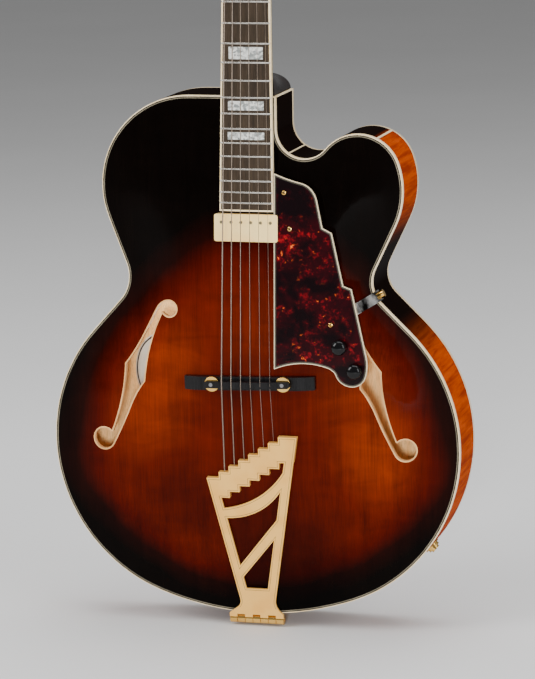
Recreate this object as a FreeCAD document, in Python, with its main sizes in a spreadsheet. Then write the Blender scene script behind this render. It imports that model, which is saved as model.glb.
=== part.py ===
"""Archtop guitar with a rounded cutaway, a floating pickup and a stepped hinged tailpiece.

Millimetres. +Z runs up the neck, the front faces -Y and the treble side is +X. The origin is where the
end pin seats: at the tail, on the centre line, halfway through the rim's depth.
"""
import FreeCAD
import Part
import Sketcher

import math
import os
import re

from FreeCAD import Placement, Rotation, Vector

# Driving dimensions
SIZES = (
    # Outline of the body, seen from the front
    ("body_length", 541.0),
    ("lower_bout_width", 432.0),
    ("lower_bout_fullness", 0.83333),
    ("lower_bout_height", "=lower_bout_fullness * lower_bout_width / 2"),
    ("lower_bout_roundness", 0.9884),
    ("tail_radius", 297.0),
    ("upper_bout_width", 317.0),
    ("upper_bout_radius", 94.0),
    ("upper_bout_roundness", 0.9947),
    ("waist_width", 258.0),
    ("waist_offset", -3.0),
    ("waist_place", 0.64794),
    ("waist_height",
     "=lower_bout_height + waist_place * (body_length - upper_bout_radius - lower_bout_height)"),
    ("waist_roundness", 0.76),
    ("horn_side_radius", 85.0),
    ("horn_side_roundness", 0.8989),
    ("horn_tip_radius", 44.0),
    ("horn_rise", 57.4),
    ("cutaway_depth", 63.0),
    ("shoulder_margin", 1.5),
    # Box of the body
    ("rim_depth", 76.0),
    ("rim_thickness", 2.5),
    ("plate_thickness", 6.0),
    ("arch_rise", 13.0),
    ("flat_border", 9.0),
    ("recurve_width", 50.0),
    ("binding_width", 2.2),
    ("lining_width", 6.0),
    ("lining_height", 12.0),
    ("neck_block_width", 90.0),
    ("neck_block_length", 58.0),
    ("tail_block_width", 84.0),
    ("tail_block_length", 26.0),
    ("tone_bar_width", 8.0),
    ("tone_bar_height", 12.0),
    ("tone_bar_length", 300.0),
    ("tone_bar_spacing", 90.0),
    # Sound holes, placed out from the centre line and up from the bridge line
    ("upper_eye_radius", 9.4),
    ("upper_eye_out", 87.0),
    ("upper_eye_rise", 69.0),
    ("lower_eye_radius", 12.4),
    ("lower_eye_out", 160.6),
    ("lower_eye_drop", 70.4),
    ("outer_notch_out", 136.4),
    ("outer_notch_rise", 10.2),
    ("inner_notch_out", 114.0),
    ("inner_notch_drop", 7.9),
    ("hole_binding_width", 1.4),
    # Neck and fingerboard
    ("scale_length", 648.0),
    ("neck_angle", 2.8),
    ("fingerboard_rise", 13.7),
    ("fingerboard_thickness", 6.5),
    ("fingerboard_radius", 305.0),
    ("fingerboard_nut_width", 43.0),
    ("fingerboard_end_width", 56.5),
    ("fingerboard_end_margin", 8.5),
    ("fingerboard_binding_width", 1.6),
    ("fret_width", 2.2),
    ("fret_height", 1.0),
    ("fret_inset", 0.6),
    ("inlay_depth", 1.2),
    ("inlay_gap", 3.4),
    ("inlay_side_margin", 8.0),
    ("nut_length", 4.6),
    ("nut_rise", 2.2),
    ("neck_depth_nut", 15.0),
    ("neck_depth_heel", 18.0),
    ("heel_width", 51.0),
    ("heel_top_length", 58.0),
    ("heel_foot_length", 16.0),
    ("heel_cap_thickness", 2.2),
    ("tongue_width", 49.0),
    ("tongue_margin", 5.0),
    ("truss_rod_diameter", 6.0),
    ("truss_rod_depth", 6.0),
    ("truss_rod_pocket_length", 26.0),
    ("truss_rod_pocket_width", 12.0),
    # Headstock
    ("head_angle", 14.0),
    ("head_length", 172.0),
    ("head_thickness", 13.0),
    ("head_waist_width", 47.0),
    ("head_cheek_width", 62.0),
    ("head_cheek_height", 34.0),
    ("head_top_width", 79.0),
    ("head_crown", 12.0),
    ("overlay_thickness", 2.0),
    ("rod_cover_thickness", 1.6),
    ("rod_cover_margin", 5.0),
    # Tuning machines
    ("tuner_first", 44.0),
    ("tuner_spacing", 38.0),
    ("tuner_row_spacing", 42.0),
    ("post_diameter", 6.0),
    ("post_height", 16.0),
    ("bushing_diameter", 9.2),
    ("bushing_flange", 12.4),
    ("bushing_flange_height", 1.6),
    ("housing_width", 17.0),
    ("housing_length", 20.0),
    ("housing_depth", 9.0),
    ("housing_wall", 1.2),
    ("wheel_diameter", 9.2),
    ("wheel_length", 3.0),
    ("worm_diameter", 4.4),
    ("button_shaft_diameter", 4.0),
    ("button_reach", 14.0),
    ("button_length", 15.0),
    ("button_height", 19.0),
    ("button_thickness", 9.0),
    # Strings, thinnest first
    ("string_diameter_1", 0.31),
    ("string_diameter_2", 0.42),
    ("string_diameter_3", 0.62),
    ("string_diameter_4", 0.82),
    ("string_diameter_5", 1.07),
    ("string_diameter_6", 1.32),
    ("string_spacing_nut", 7.2),
    ("string_spacing_bridge", 10.2),
    ("string_height_nut", 1.5),
    ("action_at_bridge", 5.1),
    ("string_bend", 2.0),
    ("winding_gap", 0.45),
    ("winding_turns", 3.0),
    # Bridge, set back and slanted so that the thick strings are longer
    ("bridge_setback", 3.7),
    ("bridge_slant", 1.46),
    ("bridge_base_length", 138.0),
    ("bridge_base_width", 14.0),
    ("bridge_base_flat", 94.0),
    ("bridge_end_slope", 5.2),
    ("bridge_foot_gap_length", 52.0),
    ("bridge_foot_gap_height", 2.4),
    ("saddle_length", 91.0),
    ("saddle_width", 7.0),
    ("saddle_end_round", 2.2),
    ("saddle_height", 6.4),
    ("stud_spacing", 75.2),
    ("stud_diameter", 4.0),
    ("thumbwheel_diameter", 15.4),
    ("thumbwheel_thickness", 2.4),
    ("thumbwheel_travel", 1.4),
    # Tailpiece
    ("tail_rise", 4.0),
    ("tail_slope", 6.28),
    ("tail_plate_thickness", 2.5),
    ("tail_band_thickness", 6.0),
    ("tail_step_run", 10.8),
    ("tail_step_rise", 6.75),
    ("tail_first_step", 148.0),
    ("tail_band_height", 27.75),
    ("tail_left_cheek", 13.3),
    ("tail_right_cheek", 19.8),
    ("tail_stairs_left", 33.5),
    ("tail_foot_height", 16.0),
    ("tail_foot_width", 38.0),
    ("tail_foot_offset", 2.3),
    ("tail_arm_width", 9.9),
    ("tail_bar_width", 10.5),
    ("tail_bow_left", 115.4),
    ("tail_bow_right", 157.0),
    ("tail_bow_sag", 8.5),
    ("tail_brace_top", 105.0),
    ("tail_brace_foot", 53.0),
    ("tail_brace_drop", 17.0),
    ("tail_window_foot", 28.0),
    ("tail_lip_drop", 4.0),
    ("hinge_width", 58.0),
    ("hinge_diameter", 10.0),
    ("hinge_gap", 0.7),
    ("hinge_pin_diameter", 3.6),
    ("hinge_drop", 6.2),
    ("hinge_setback", 1.5),
    ("leaf_thickness", 1.6),
    ("leaf_width", 44.0),
    ("leaf_length", 46.0),
    # Pickguard and its controls, placed out from the centre line and up from the bridge line
    ("guard_thickness", 3.0),
    ("guard_drop", 3.0),
    ("guard_gap", 1.2),
    ("guard_binding_width", 2.4),
    ("guard_top_rise", 213.4),
    ("guard_crown_out", 43.5),
    ("guard_crown_rise", 208.2),
    ("guard_neck_out", 58.0),
    ("guard_neck_rise", 204.2),
    ("guard_shoulder_out", 73.9),
    ("guard_shoulder_rise", 187.0),
    ("guard_step_1_out", 79.7),
    ("guard_step_1_rise", 159.2),
    ("guard_step_2_out", 89.3),
    ("guard_step_2_rise", 154.4),
    ("guard_step_3_out", 101.4),
    ("guard_step_3_rise", 101.1),
    ("guard_step_4_out", 110.0),
    ("guard_step_4_rise", 97.9),
    ("guard_lobe_out", 125.7),
    ("guard_lobe_rise", 29.4),
    ("guard_lobe_margin", 17.0),
    ("guard_lobe_lean", 3.5),
    ("guard_lobe_end_rise", 9.5),
    ("guard_foot_run", 8.0),
    ("guard_foot_rise", 16.5),
    ("guard_bow_rise", 20.4),
    ("guard_corner_rise", 13.7),
    ("guard_screw_1_out", 40.0),
    ("guard_screw_1_rise", 194.4),
    ("guard_screw_2_out", 45.9),
    ("guard_screw_2_rise", 157.7),
    ("guard_screw_3_out", 88.6),
    ("guard_screw_3_rise", 61.1),
    ("bracket_bend", 14.0),
    ("knob_diameter", 15.4),
    ("knob_height", 12.0),
    ("knob_crown", 5.0),
    ("knob_lift", 1.0),
    ("volume_out", 98.9),
    ("volume_rise", 39.0),
    ("tone_out", 114.6),
    ("tone_rise", 15.2),
    ("pot_diameter", 16.0),
    ("pot_depth", 7.5),
    ("pot_bushing_diameter", 7.0),
    ("spindle_diameter", 4.2),
    ("bracket_width", 11.0),
    ("bracket_thickness", 1.8),
    ("bracket_leg", 15.0),
    ("bracket_rim_height", 86.08),
    ("thumb_nut_diameter", 8.0),
    ("thumb_nut_length", 5.0),
    # Pickup
    ("pickup_width", 66.6),
    ("pickup_length", 28.0),
    ("pickup_depth", 10.0),
    ("pickup_wall", 0.8),
    ("pickup_corner", 2.2),
    ("pickup_string_gap", 2.7),
    ("pickup_gap", 2.4),
    ("pole_spacing", 10.3),
    ("pole_diameter", 3.2),
    ("pole_inset", 8.4),
    # Jack, pins, screws and leads
    ("jack_angle", -38.8),
    ("jack_bore", 6.4),
    ("jack_barrel_diameter", 9.4),
    ("jack_washer_diameter", 18.0),
    ("jack_depth", 20.0),
    ("pin_neck_diameter", 11.0),
    ("pin_head_diameter", 15.0),
    ("pin_length", 12.0),
    ("pin_screw_diameter", 5.0),
    ("pin_screw_length", 22.0),
    ("screw_head_diameter", 4.4),
    ("screw_head_height", 1.2),
    ("screw_diameter", 2.2),
    ("screw_length", 6.0),
    ("lead_diameter", 2.4),
    # Clearances
    ("running_clearance", 0.08),
    ("fit_clearance", 0.05),
    ("free_clearance", 0.3),
)
JOIN_FRET = 14
LAST_FRET = 22
INLAY_FRETS = (1, 3, 5, 7, 9, 12, 15, 17)
STRINGS = range(1, 7)
SIDES = {"bass": -1, "treble": 1}
HINGE_KNUCKLES = 7
ARCH_GRID = 10.0
ARCH_POWER = 0.85
SECTION_STEPS = 10
REACH = 400.0

doc = FreeCAD.newDocument("archtop_guitar")
sheet = doc.addObject("Spreadsheet::Sheet", "Sizes")
for row, (alias, number) in enumerate(SIZES, start=1):
    sheet.set(f"A{row}", alias)
    sheet.set(f"B{row}", str(number))
    sheet.setAlias(f"B{row}", alias)
doc.recompute()

ALIASES = {alias for alias, number in SIZES}
nodes = []


# Sheet and document helpers
def size(alias):
    """The number in one cell of the sheet."""
    return float(sheet.get(alias))


def formula(text):
    """An expression in which every alias points at its cell."""
    return re.sub(r"[a-z]\w*", lambda word: "Sizes." + word[0] if word[0] in ALIASES else word[0], text)


def worked(text):
    """The number that an expression gives now."""
    return float(sheet.evalExpression(formula(text)))


def bind(item, **formulas):
    """Ties an object's properties to cells of the sheet."""
    for name, text in formulas.items():
        item.setExpression(name, formula(text))
    return item


def primitive(kind, label, place, **formulas):
    """A Part primitive with bound sizes."""
    item = bind(doc.addObject("Part::" + kind, label), **formulas)
    item.Placement = place
    return item


def cut(label, base, tool):
    """The base with the tool taken away."""
    item = doc.addObject("Part::Cut", label)
    item.Base = base
    item.Tool = tool
    return item


def fused(label, items):
    """Several objects grown into one solid."""
    item = doc.addObject("Part::MultiFuse", label)
    item.Shapes = items
    return item


def grouped(label, items):
    """Separate solids that share a node."""
    item = doc.addObject("Part::Compound", label)
    item.Links = items
    return item


def shaped(label, shape):
    """A piece whose shape is worked out here from the sheet."""
    item = doc.addObject("Part::Feature", label)
    item.Shape = shape
    return item


def node(item):
    """Marks an object as a sub-part of the guitar."""
    nodes.append(item)
    return item


def turned(label, section, place):
    """A turned piece about its own Z axis, from (radius, height) formulas in order round its half section."""
    body = doc.addObject("PartDesign::Body", label)
    sketch = body.newObject("Sketcher::SketchObject", label + "_section")
    plane = next(feature for feature in body.Origin.OriginFeatures if feature.Role == "XZ_Plane")
    sketch.AttachmentSupport = [(plane, "")]
    sketch.MapMode = "FlatFace"
    corners = [Vector(worked(radius), worked(height), 0) for radius, height in section]
    count = len(corners)
    for index in range(count):
        sketch.addGeometry(Part.LineSegment(corners[index], corners[(index + 1) % count]), False)
    for index in range(count):
        sketch.addConstraint(Sketcher.Constraint("Coincident", index, 2, (index + 1) % count, 1))
    for index, texts in enumerate(section):
        for kind, axis, text in (("DistanceX", -2, texts[0]), ("DistanceY", -1, texts[1])):
            if text == "0":
                sketch.addConstraint(Sketcher.Constraint("PointOnObject", index, 1, axis))
                continue
            number = sketch.addConstraint(Sketcher.Constraint(kind, -1, 1, index, 1, worked(text)))
            sketch.setExpression(f"Constraints[{number}]", formula(text))
    turn = body.newObject("PartDesign::Revolution", label + "_turn")
    turn.Profile = sketch
    turn.ReferenceAxis = (sketch, ["V_Axis"])
    turn.Angle = 360
    body.Placement = place
    return body


def pointing(base, direction):
    """A placement whose Z axis points along a direction."""
    return Placement(base, Rotation(Vector(0, 0, 1), direction))


def moved(x, y, z):
    """A plain shift."""
    return Placement(Vector(x, y, z), Rotation())


# Curves
def line_edge(start, end):
    """A straight edge."""
    return Part.LineSegment(start, end).toShape()


def arc_edge(start, tangent, end, backwards=False):
    """An arc under a half circle that leaves start along the tangent, or a line where that is straight."""
    chord = end - start
    across = chord - tangent * chord.dot(tangent)
    if across.Length < 1e-7 * chord.Length:
        return line_edge(end, start) if backwards else line_edge(start, end)
    inward = across / across.Length
    radius = chord.dot(chord) / (2 * chord.dot(inward))
    centre = start + inward * radius
    outward = start + chord / 2 - centre
    crown = centre + outward / outward.Length * radius
    return Part.Arc(end, crown, start).toShape() if backwards else Part.Arc(start, crown, end).toShape()


def biarc(start, start_tangent, end, end_tangent):
    """Two arcs that meet smoothly and keep both end tangents."""
    first = start_tangent.normalize()
    last = end_tangent.normalize()
    span = end - start
    along = span.dot(first + last)
    spread = 2 * (1 - first.dot(last))
    if spread < 1e-9:
        reach = span.dot(span) / (4 * span.dot(last))
    else:
        reach = (math.sqrt(along * along + spread * span.dot(span)) - along) / spread
    middle = (start + end + (first - last) * reach) / 2
    return [arc_edge(start, first, middle), arc_edge(end, last * -1, middle, backwards=True)]


def rounded_path(points, bend):
    """Straight runs through the points, joined by tangent arcs that start bend away from each corner."""
    edges = []
    start = points[0]
    for before, corner, after in zip(points, points[1:], points[2:]):
        arrive = (corner - before).normalize()
        leave = (after - corner).normalize()
        entry = corner - arrive * bend
        exit_point = corner + leave * bend
        edges.append(line_edge(start, entry))
        edges.append(arc_edge(entry, arrive, exit_point))
        start = exit_point
    edges.append(line_edge(start, points[-1]))
    return edges


def tube(edges, start, direction, radius):
    """A solid round tube along a chain of edges."""
    section = Part.Wire([Part.Circle(start, direction, radius).toShape()])
    return Part.Wire(edges).makePipeShell([section], True, False)


def prism(wires, start, depth):
    """A flat outline in the XZ plane, with any holes, made solid from y = start over a depth along +Y."""
    face = Part.makeFace(wires, "Part::FaceMakerBullseye")
    face.translate(Vector(0, start, 0))
    return face.extrude(Vector(0, depth, 0))


def polygon(points):
    """A closed wire through (x, z) corners in the XZ plane."""
    corners = [Vector(x, 0, z) for x, z in points]
    return Part.makePolygon(corners + corners[:1])


def block(x_range, y_range, z_range):
    """A box between two values on each axis."""
    spans = [high - low for low, high in (x_range, y_range, z_range)]
    return Part.makeBox(*spans, Vector(x_range[0], y_range[0], z_range[0]))


def rod(start, end, radius):
    """A round rod between two points."""
    return Part.makeCylinder(radius, (end - start).Length, start, end - start)


# Places that several pieces share
half_depth = size("rim_depth") / 2
shoulder_x = size("heel_width") / 2 + size("shoulder_margin")
plate_edge = half_depth - size("plate_thickness")
neck_tilt = math.radians(size("neck_angle"))


def fret_distance(fret):
    """How far a fret lies from the nut."""
    return size("scale_length") * (1 - 2 ** (-fret / 12))


nut_z = size("body_length") + fret_distance(JOIN_FRET) * math.cos(neck_tilt)
board_at_joint = -half_depth - size("fingerboard_rise")
nut_y = board_at_joint + (nut_z - size("body_length")) * math.tan(neck_tilt)
bridge_z = nut_z - size("scale_length")
board_at_bridge = nut_y - size("scale_length") * math.tan(neck_tilt)
crest_y = board_at_bridge - size("action_at_bridge")
string_tilt = math.degrees(math.atan2(nut_y - size("string_height_nut") - crest_y, size("scale_length")))
board_length = fret_distance(LAST_FRET) + size("fingerboard_end_margin")
board_end_z = nut_z - board_length * math.cos(neck_tilt)

# Local frames: x across, z up along the piece, y towards the back
neck_frame = Placement(Vector(0, nut_y, nut_z), Rotation(Vector(1, 0, 0), -size("neck_angle")))
head_frame = neck_frame.multiply(Placement(
    Vector(0, size("overlay_thickness") + 0.5, size("nut_length")),
    Rotation(Vector(1, 0, 0), -size("head_angle"))))
guard_frame = Placement(
    Vector(0, crest_y + size("guard_drop"), bridge_z), Rotation(Vector(1, 0, 0), -string_tilt))
bridge_frame = Placement(
    Vector(0, 0, bridge_z - size("bridge_setback")), Rotation(Vector(0, 1, 0), -size("bridge_slant")))
tail_frame = Placement(
    Vector(0, -half_depth - size("tail_rise"), 0), Rotation(Vector(1, 0, 0), size("tail_slope")))


def camber(x):
    """How far the fingerboard's round top falls away at a distance from the centre line."""
    return size("fingerboard_radius") - math.sqrt(size("fingerboard_radius") ** 2 - x * x)


def board_half_width(distance):
    """Half the fingerboard's width at a distance down from the nut."""
    taper = (size("fingerboard_end_width") - size("fingerboard_nut_width")) / board_length
    return (size("fingerboard_nut_width") + taper * distance) / 2


# Outline of the body
def waist_circle_radius(half_waist, low, high):
    """The concave waist radius: a share of the largest that still clears both bouts."""
    limits = []
    for x, z, radius in (low, high):
        gap = (half_waist - x) ** 2 - radius ** 2 + (size("waist_height") - z) ** 2
        limits.append(gap / (2 * (radius + x - half_waist)))
    return size("waist_roundness") * min(limits)


def lower_bout_circle():
    """Centre and radius of the treble lower bout, which rolls smoothly into the tail arc."""
    half = size("lower_bout_width") / 2
    tail = size("tail_radius")
    radius = (tail ** 2 - half ** 2 - (tail - size("lower_bout_height")) ** 2) / (2 * (tail - half))
    return half - radius, size("lower_bout_height"), radius


def bout_flank(half_width, level, roundness):
    """Centre and radius of a bout between its widest place and the waist, on the treble side."""
    radius = roundness * abs(size("waist_height") - level)
    return half_width - radius, level, radius


def lower_flank():
    """The lower bout's flank below the waist."""
    return bout_flank(size("lower_bout_width") / 2, size("lower_bout_height"), size("lower_bout_roundness"))


def upper_flank(side):
    """The upper bout's flank above the waist, on either side."""
    level = size("body_length") - size("upper_bout_radius")
    roundness = size("upper_bout_roundness") if side < 0 else size("horn_side_roundness")
    return bout_flank(size("upper_bout_width") / 2, level, roundness)


def waist_circle(side):
    """Centre and radius of one side's waist."""
    half_waist = size("waist_width") / 2 + side * size("waist_offset")
    radius = waist_circle_radius(half_waist, lower_flank(), upper_flank(side))
    return side * (half_waist + radius), size("waist_height"), radius


def outline_circles():
    """The circles that the outline rolls over from the tail, counter-clockwise: x, z, radius, turn."""
    lower_x, lower_z, lower_r = lower_bout_circle()
    upper_half = size("upper_bout_width") / 2
    upper_z = size("body_length") - size("upper_bout_radius")
    side_r = size("horn_side_radius")
    tip_r = size("horn_tip_radius")
    side_x = upper_half - side_r
    tip_z = upper_z + size("horn_rise") - tip_r
    tip_x = side_x + math.sqrt((side_r - tip_r) ** 2 - (tip_z - upper_z) ** 2)
    floor_z = size("body_length") - size("cutaway_depth")
    right = tip_x - shoulder_x
    up = tip_z - floor_z
    cut_r = right + up + tip_r - math.sqrt(2 * (right + tip_r) * (up + tip_r))
    treble_x, waist_z, treble_r = waist_circle(1)
    bass_x, waist_z, bass_r = waist_circle(-1)
    flank_x, flank_z, flank_r = lower_flank()
    horn_x, horn_z, horn_r = upper_flank(1)
    bout_x, bout_z, bout_r = upper_flank(-1)
    return [
        (0, size("tail_radius"), size("tail_radius"), 1),
        (lower_x, lower_z, lower_r, 1),
        (flank_x, flank_z, flank_r, 1),
        (treble_x, waist_z, treble_r, -1),
        (horn_x, horn_z, horn_r, 1),
        (side_x, upper_z, side_r, 1),
        (tip_x, tip_z, tip_r, 1),
        (shoulder_x + cut_r, floor_z + cut_r, cut_r, -1),
        (shoulder_x, size("body_length"), 0, 1),
        (size("upper_bout_radius") - upper_half, upper_z, size("upper_bout_radius"), 1),
        (-bout_x, bout_z, bout_r, 1),
        (bass_x, waist_z, bass_r, -1),
        (-flank_x, flank_z, flank_r, 1),
        (-lower_x, lower_z, lower_r, 1),
    ]


def inset_circles(inset):
    """The same circles for an outline that lies further in all round."""
    circles = []
    for x, z, radius, turn in outline_circles():
        if radius == 0:
            circles.append((x - inset, z - inset, 0, turn))
        else:
            circles.append((x, z, radius - turn * inset, turn))
    return circles


def tangent_points(first, second):
    """Where the common tangent of two circles leaves the first and meets the second."""
    run = second[0] - first[0]
    rise = second[1] - first[1]
    lean = (second[3] * second[2] - first[3] * first[2]) / math.hypot(run, rise)
    angle = math.atan2(rise, run) - math.asin(max(-1.0, min(1.0, lean)))
    points = []
    for x, z, radius, turn in (first, second):
        points.append(Vector(x + turn * radius * math.sin(angle), 0, z - turn * radius * math.cos(angle)))
    touching = (points[1] - points[0]).Length < 1e-3
    return [points[0], points[0]] if touching else points


def outline_wire(inset):
    """The body's closed outline, set in by a distance."""
    circles = inset_circles(inset)
    count = len(circles)
    spans = [tangent_points(circles[index], circles[(index + 1) % count]) for index in range(count)]
    edges = []
    for index, (x, z, radius, turn) in enumerate(circles):
        entry = spans[index - 1][1]
        leave = spans[index][0]
        if radius > 0:
            begin = math.atan2(entry.z - z, entry.x - x)
            sweep = (turn * (math.atan2(leave.z - z, leave.x - x) - begin)) % (2 * math.pi) * turn
            middle = begin + sweep / 2
            crown = Vector(x + radius * math.cos(middle), 0, z + radius * math.sin(middle))
            edges.append(Part.Arc(entry, crown, leave).toShape())
        if spans[index][1] != leave:
            edges.append(line_edge(leave, spans[index][1]))
    return Part.Wire(edges)


# Arched plates
def inside_outline(x, z, corners):
    """True where a point lies inside the outline's polygon."""
    inside = False
    for (x0, z0), (x1, z1) in zip(corners, corners[1:] + corners[:1]):
        if (z0 > z) != (z1 > z) and x < x0 + (z - z0) / (z1 - z0) * (x1 - x0):
            inside = not inside
    return inside


def inflated(columns, rows, depth):
    """Heights of a skin blown up over the grid points that lie inside the outline, from 0 to 1."""
    skin = [[0.0] * rows for column in range(columns)]
    for sweep in range(160):
        for i in range(1, columns - 1):
            for j in range(1, rows - 1):
                if depth[i][j] > 0:
                    around = skin[i - 1][j] + skin[i + 1][j] + skin[i][j - 1] + skin[i][j + 1]
                    skin[i][j] += 1.85 * ((around + 1) / 4 - skin[i][j])
    top = max(max(column) for column in skin)
    return [[height / top for height in column] for column in skin]


def arched_face():
    """The carved front surface over a rectangle wider than the body: flat at the rim, then a recurve."""
    corners = [(point.x, point.z) for point in outline_wire(0).discretize(Number=500)]
    low_x = min(x for x, z in corners) - 2 * ARCH_GRID
    low_z = min(z for x, z in corners) - 2 * ARCH_GRID
    columns = int((max(x for x, z in corners) - low_x) / ARCH_GRID) + 3
    rows = int((max(z for x, z in corners) - low_z) / ARCH_GRID) + 3
    depth = []
    for i in range(columns):
        depth.append([])
        for j in range(rows):
            x = low_x + i * ARCH_GRID
            z = low_z + j * ARCH_GRID
            nearest = min((x - a) ** 2 + (z - b) ** 2 for a, b in corners)
            depth[i].append(math.sqrt(nearest) if inside_outline(x, z, corners) else 0.0)
    skin = inflated(columns, rows, depth)
    points = []
    for i in range(columns):
        points.append([])
        for j in range(rows):
            share = (depth[i][j] - size("flat_border")) / size("recurve_width")
            share = max(0.0, min(1.0, share))
            rise = size("arch_rise") * skin[i][j] ** ARCH_POWER * share * share * (3 - 2 * share)
            points[i].append(Vector(low_x + i * ARCH_GRID, -half_depth - rise, low_z + j * ARCH_GRID))
    degree = 3
    multiplicities = []
    knots = []
    for count in (columns, rows):
        multiplicities.append([degree + 1] + [1] * (count - degree - 1) + [degree + 1])
        knots.append([float(knot) for knot in range(count - degree + 1)])
    surface = Part.BSplineSurface()
    surface.buildFromPolesMultsKnots(points, *multiplicities, *knots, False, False, degree, degree)
    return surface.toShape()


arch = arched_face()
plate_face = arch.common(prism([outline_wire(size("binding_width"))], -REACH, 2 * REACH))
box_space = prism([outline_wire(size("rim_thickness"))], -plate_edge, 2 * plate_edge)


def arch_height(x, z):
    """Where the top's front surface lies above a point of the plan."""
    probe = line_edge(Vector(x, -REACH, z), Vector(x, REACH, z))
    return arch.distToShape(probe)[1][0][0].y


def sound_hole_wire(side):
    """One f-shaped hole, out to the outer edge of its binding, all in arcs."""
    def at(out, rise):
        return Vector(side * out, 0, bridge_z + rise)

    def towards(out, rise):
        return Vector(side * out, 0, rise)

    upper = at(size("upper_eye_out"), size("upper_eye_rise"))
    lower = at(size("lower_eye_out"), -size("lower_eye_drop"))
    upper_r = size("upper_eye_radius")
    lower_r = size("lower_eye_radius")
    outer_notch = at(size("outer_notch_out"), size("outer_notch_rise"))
    inner_notch = at(size("inner_notch_out"), -size("inner_notch_drop"))
    eye_top = upper + towards(0, upper_r)
    eye_throat = upper + towards(0.81, -0.58).normalize() * upper_r
    foot_throat = lower + towards(-0.69, 0.72).normalize() * lower_r
    foot_base = lower + towards(0, -lower_r)
    shoulder = upper + (outer_notch - upper) * 0.35 + towards(5.0, 6.0)
    hip = lower + (inner_notch - lower) * 0.36 + towards(-1.2, -15.0)
    edges = biarc(eye_top, towards(1, 0), shoulder, towards(0.44, -0.9))
    edges += biarc(shoulder, towards(0.44, -0.9), outer_notch, towards(0.64, -0.77))
    edges += biarc(outer_notch, towards(0.02, -1), foot_throat, towards(0.38, -0.92))
    edges.append(Part.Arc(foot_throat, lower + towards(0.75, 0.66).normalize() * lower_r,
                          foot_base).toShape())
    edges += biarc(foot_base, towards(-1, 0), hip, towards(-0.45, 0.89))
    edges += biarc(hip, towards(-0.45, 0.89), inner_notch, towards(-0.63, 0.78))
    edges += biarc(inner_notch, towards(-0.08, 1), eye_throat, towards(-0.45, 0.89))
    edges.append(Part.Arc(eye_throat, upper + towards(-0.94, -0.34).normalize() * upper_r, eye_top).toShape())
    return Part.Wire(edges)


def build_plates():
    """The carved top with its bound sound holes, and the carved back."""
    depth = Vector(0, size("plate_thickness"), 0)
    holes = []
    bindings = []
    for side in SIDES.values():
        wire = sound_hole_wire(side)
        opening = wire.makeOffset2D(-size("hole_binding_width"))
        holes.append(prism([wire], -REACH, REACH))
        ring = prism([wire, opening], -REACH, REACH)
        bindings.append(plate_face.common(ring).Faces[0].extrude(depth))
    top = plate_face
    for hole in holes:
        top = top.cut(hole)
    node(shaped("top_plate", top.Faces[0].extrude(depth)))
    node(shaped("f_hole_bindings", Part.makeCompound(bindings)))
    back = plate_face.Faces[0].mirror(Vector(0, 0, 0), Vector(0, 1, 0))
    node(shaped("back_plate", back.extrude(depth * -1)))


def under_arch(x_range, z_range, depth):
    """A block that is glued under the top and follows its inner surface."""
    patch = arch.common(block(x_range, (-REACH, REACH), z_range)).Faces[0]
    patch.translate(Vector(0, size("plate_thickness"), 0))
    return patch.extrude(Vector(0, depth, 0))


def build_box():
    """Rim, linings, end blocks, bindings and tone bars."""
    outer = outline_wire(0)
    rim = prism([outer, outline_wire(size("rim_thickness"))], -plate_edge, 2 * plate_edge)
    rim = rim.cut(rod(Vector(0, 0, -REACH), Vector(0, 0, REACH / 8), size("pin_screw_diameter") / 2
                      + size("fit_clearance")))
    jack_hole = size("jack_barrel_diameter") / 2 + size("fit_clearance")
    jack_inside = jack_seat() - jack_out() * size("jack_depth")
    rim = rim.cut(rod(jack_inside, jack_seat() + jack_out() * size("jack_depth"), jack_hole))
    rim = rim.cut(screw_holes(leaf_screws()))
    spot, outward = waist_seat()
    nut_foot = spot + Vector(0, nut_level(), 0)
    rim = rim.cut(rod(nut_foot - outward * 5, nut_foot + outward * 5,
                      size("screw_diameter") / 2 + size("fit_clearance")))
    for name, side in SIDES.items():
        half = block(sorted((0, side * REACH)), (-REACH, REACH), (-REACH, 2 * REACH))
        node(shaped("rim_" + name, rim.common(half)))
    bindings = []
    for start in (-half_depth, plate_edge):
        bindings.append(prism([outer, outline_wire(size("binding_width"))], start, size("plate_thickness")))
    node(shaped("body_binding", Part.makeCompound(bindings)))
    top_z = size("body_length")
    half_neck = size("neck_block_width") / 2
    half_tail = size("tail_block_width") / 2
    depth = (-plate_edge, plate_edge)
    neck_levels = (top_z - size("neck_block_length"), top_z)
    neck_block = box_space.common(block((-half_neck, half_neck), depth, neck_levels))
    tail_block = box_space.common(block((-half_tail, half_tail), depth, (0, size("tail_block_length"))))
    tail_block = tail_block.cut(rod(Vector(0, 0, 0), Vector(0, 0, size("pin_screw_length")),
                                    size("pin_screw_diameter") / 2 + size("fit_clearance")))
    tail_block = tail_block.cut(screw_holes(leaf_screws()))
    linings = []
    inner = outline_wire(size("rim_thickness") + size("lining_width"))
    for start in (-plate_edge, plate_edge - size("lining_height")):
        ring = prism([outline_wire(size("rim_thickness")), inner], start, size("lining_height"))
        linings += ring.cut(neck_block).cut(tail_block).Solids
    node(shaped("neck_block", neck_block))
    node(shaped("tail_block", tail_block))
    node(shaped("rim_linings", Part.makeCompound(linings)))
    bars = []
    for side in SIDES.values():
        middle = side * size("tone_bar_spacing") / 2
        half = size("tone_bar_width") / 2
        z_range = (bridge_z - size("tone_bar_length") * 0.4, bridge_z + size("tone_bar_length") * 0.6)
        bars.append(under_arch((middle - half, middle + half), z_range, size("tone_bar_height")))
    node(shaped("tone_bars", Part.makeCompound(bars)))


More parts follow.
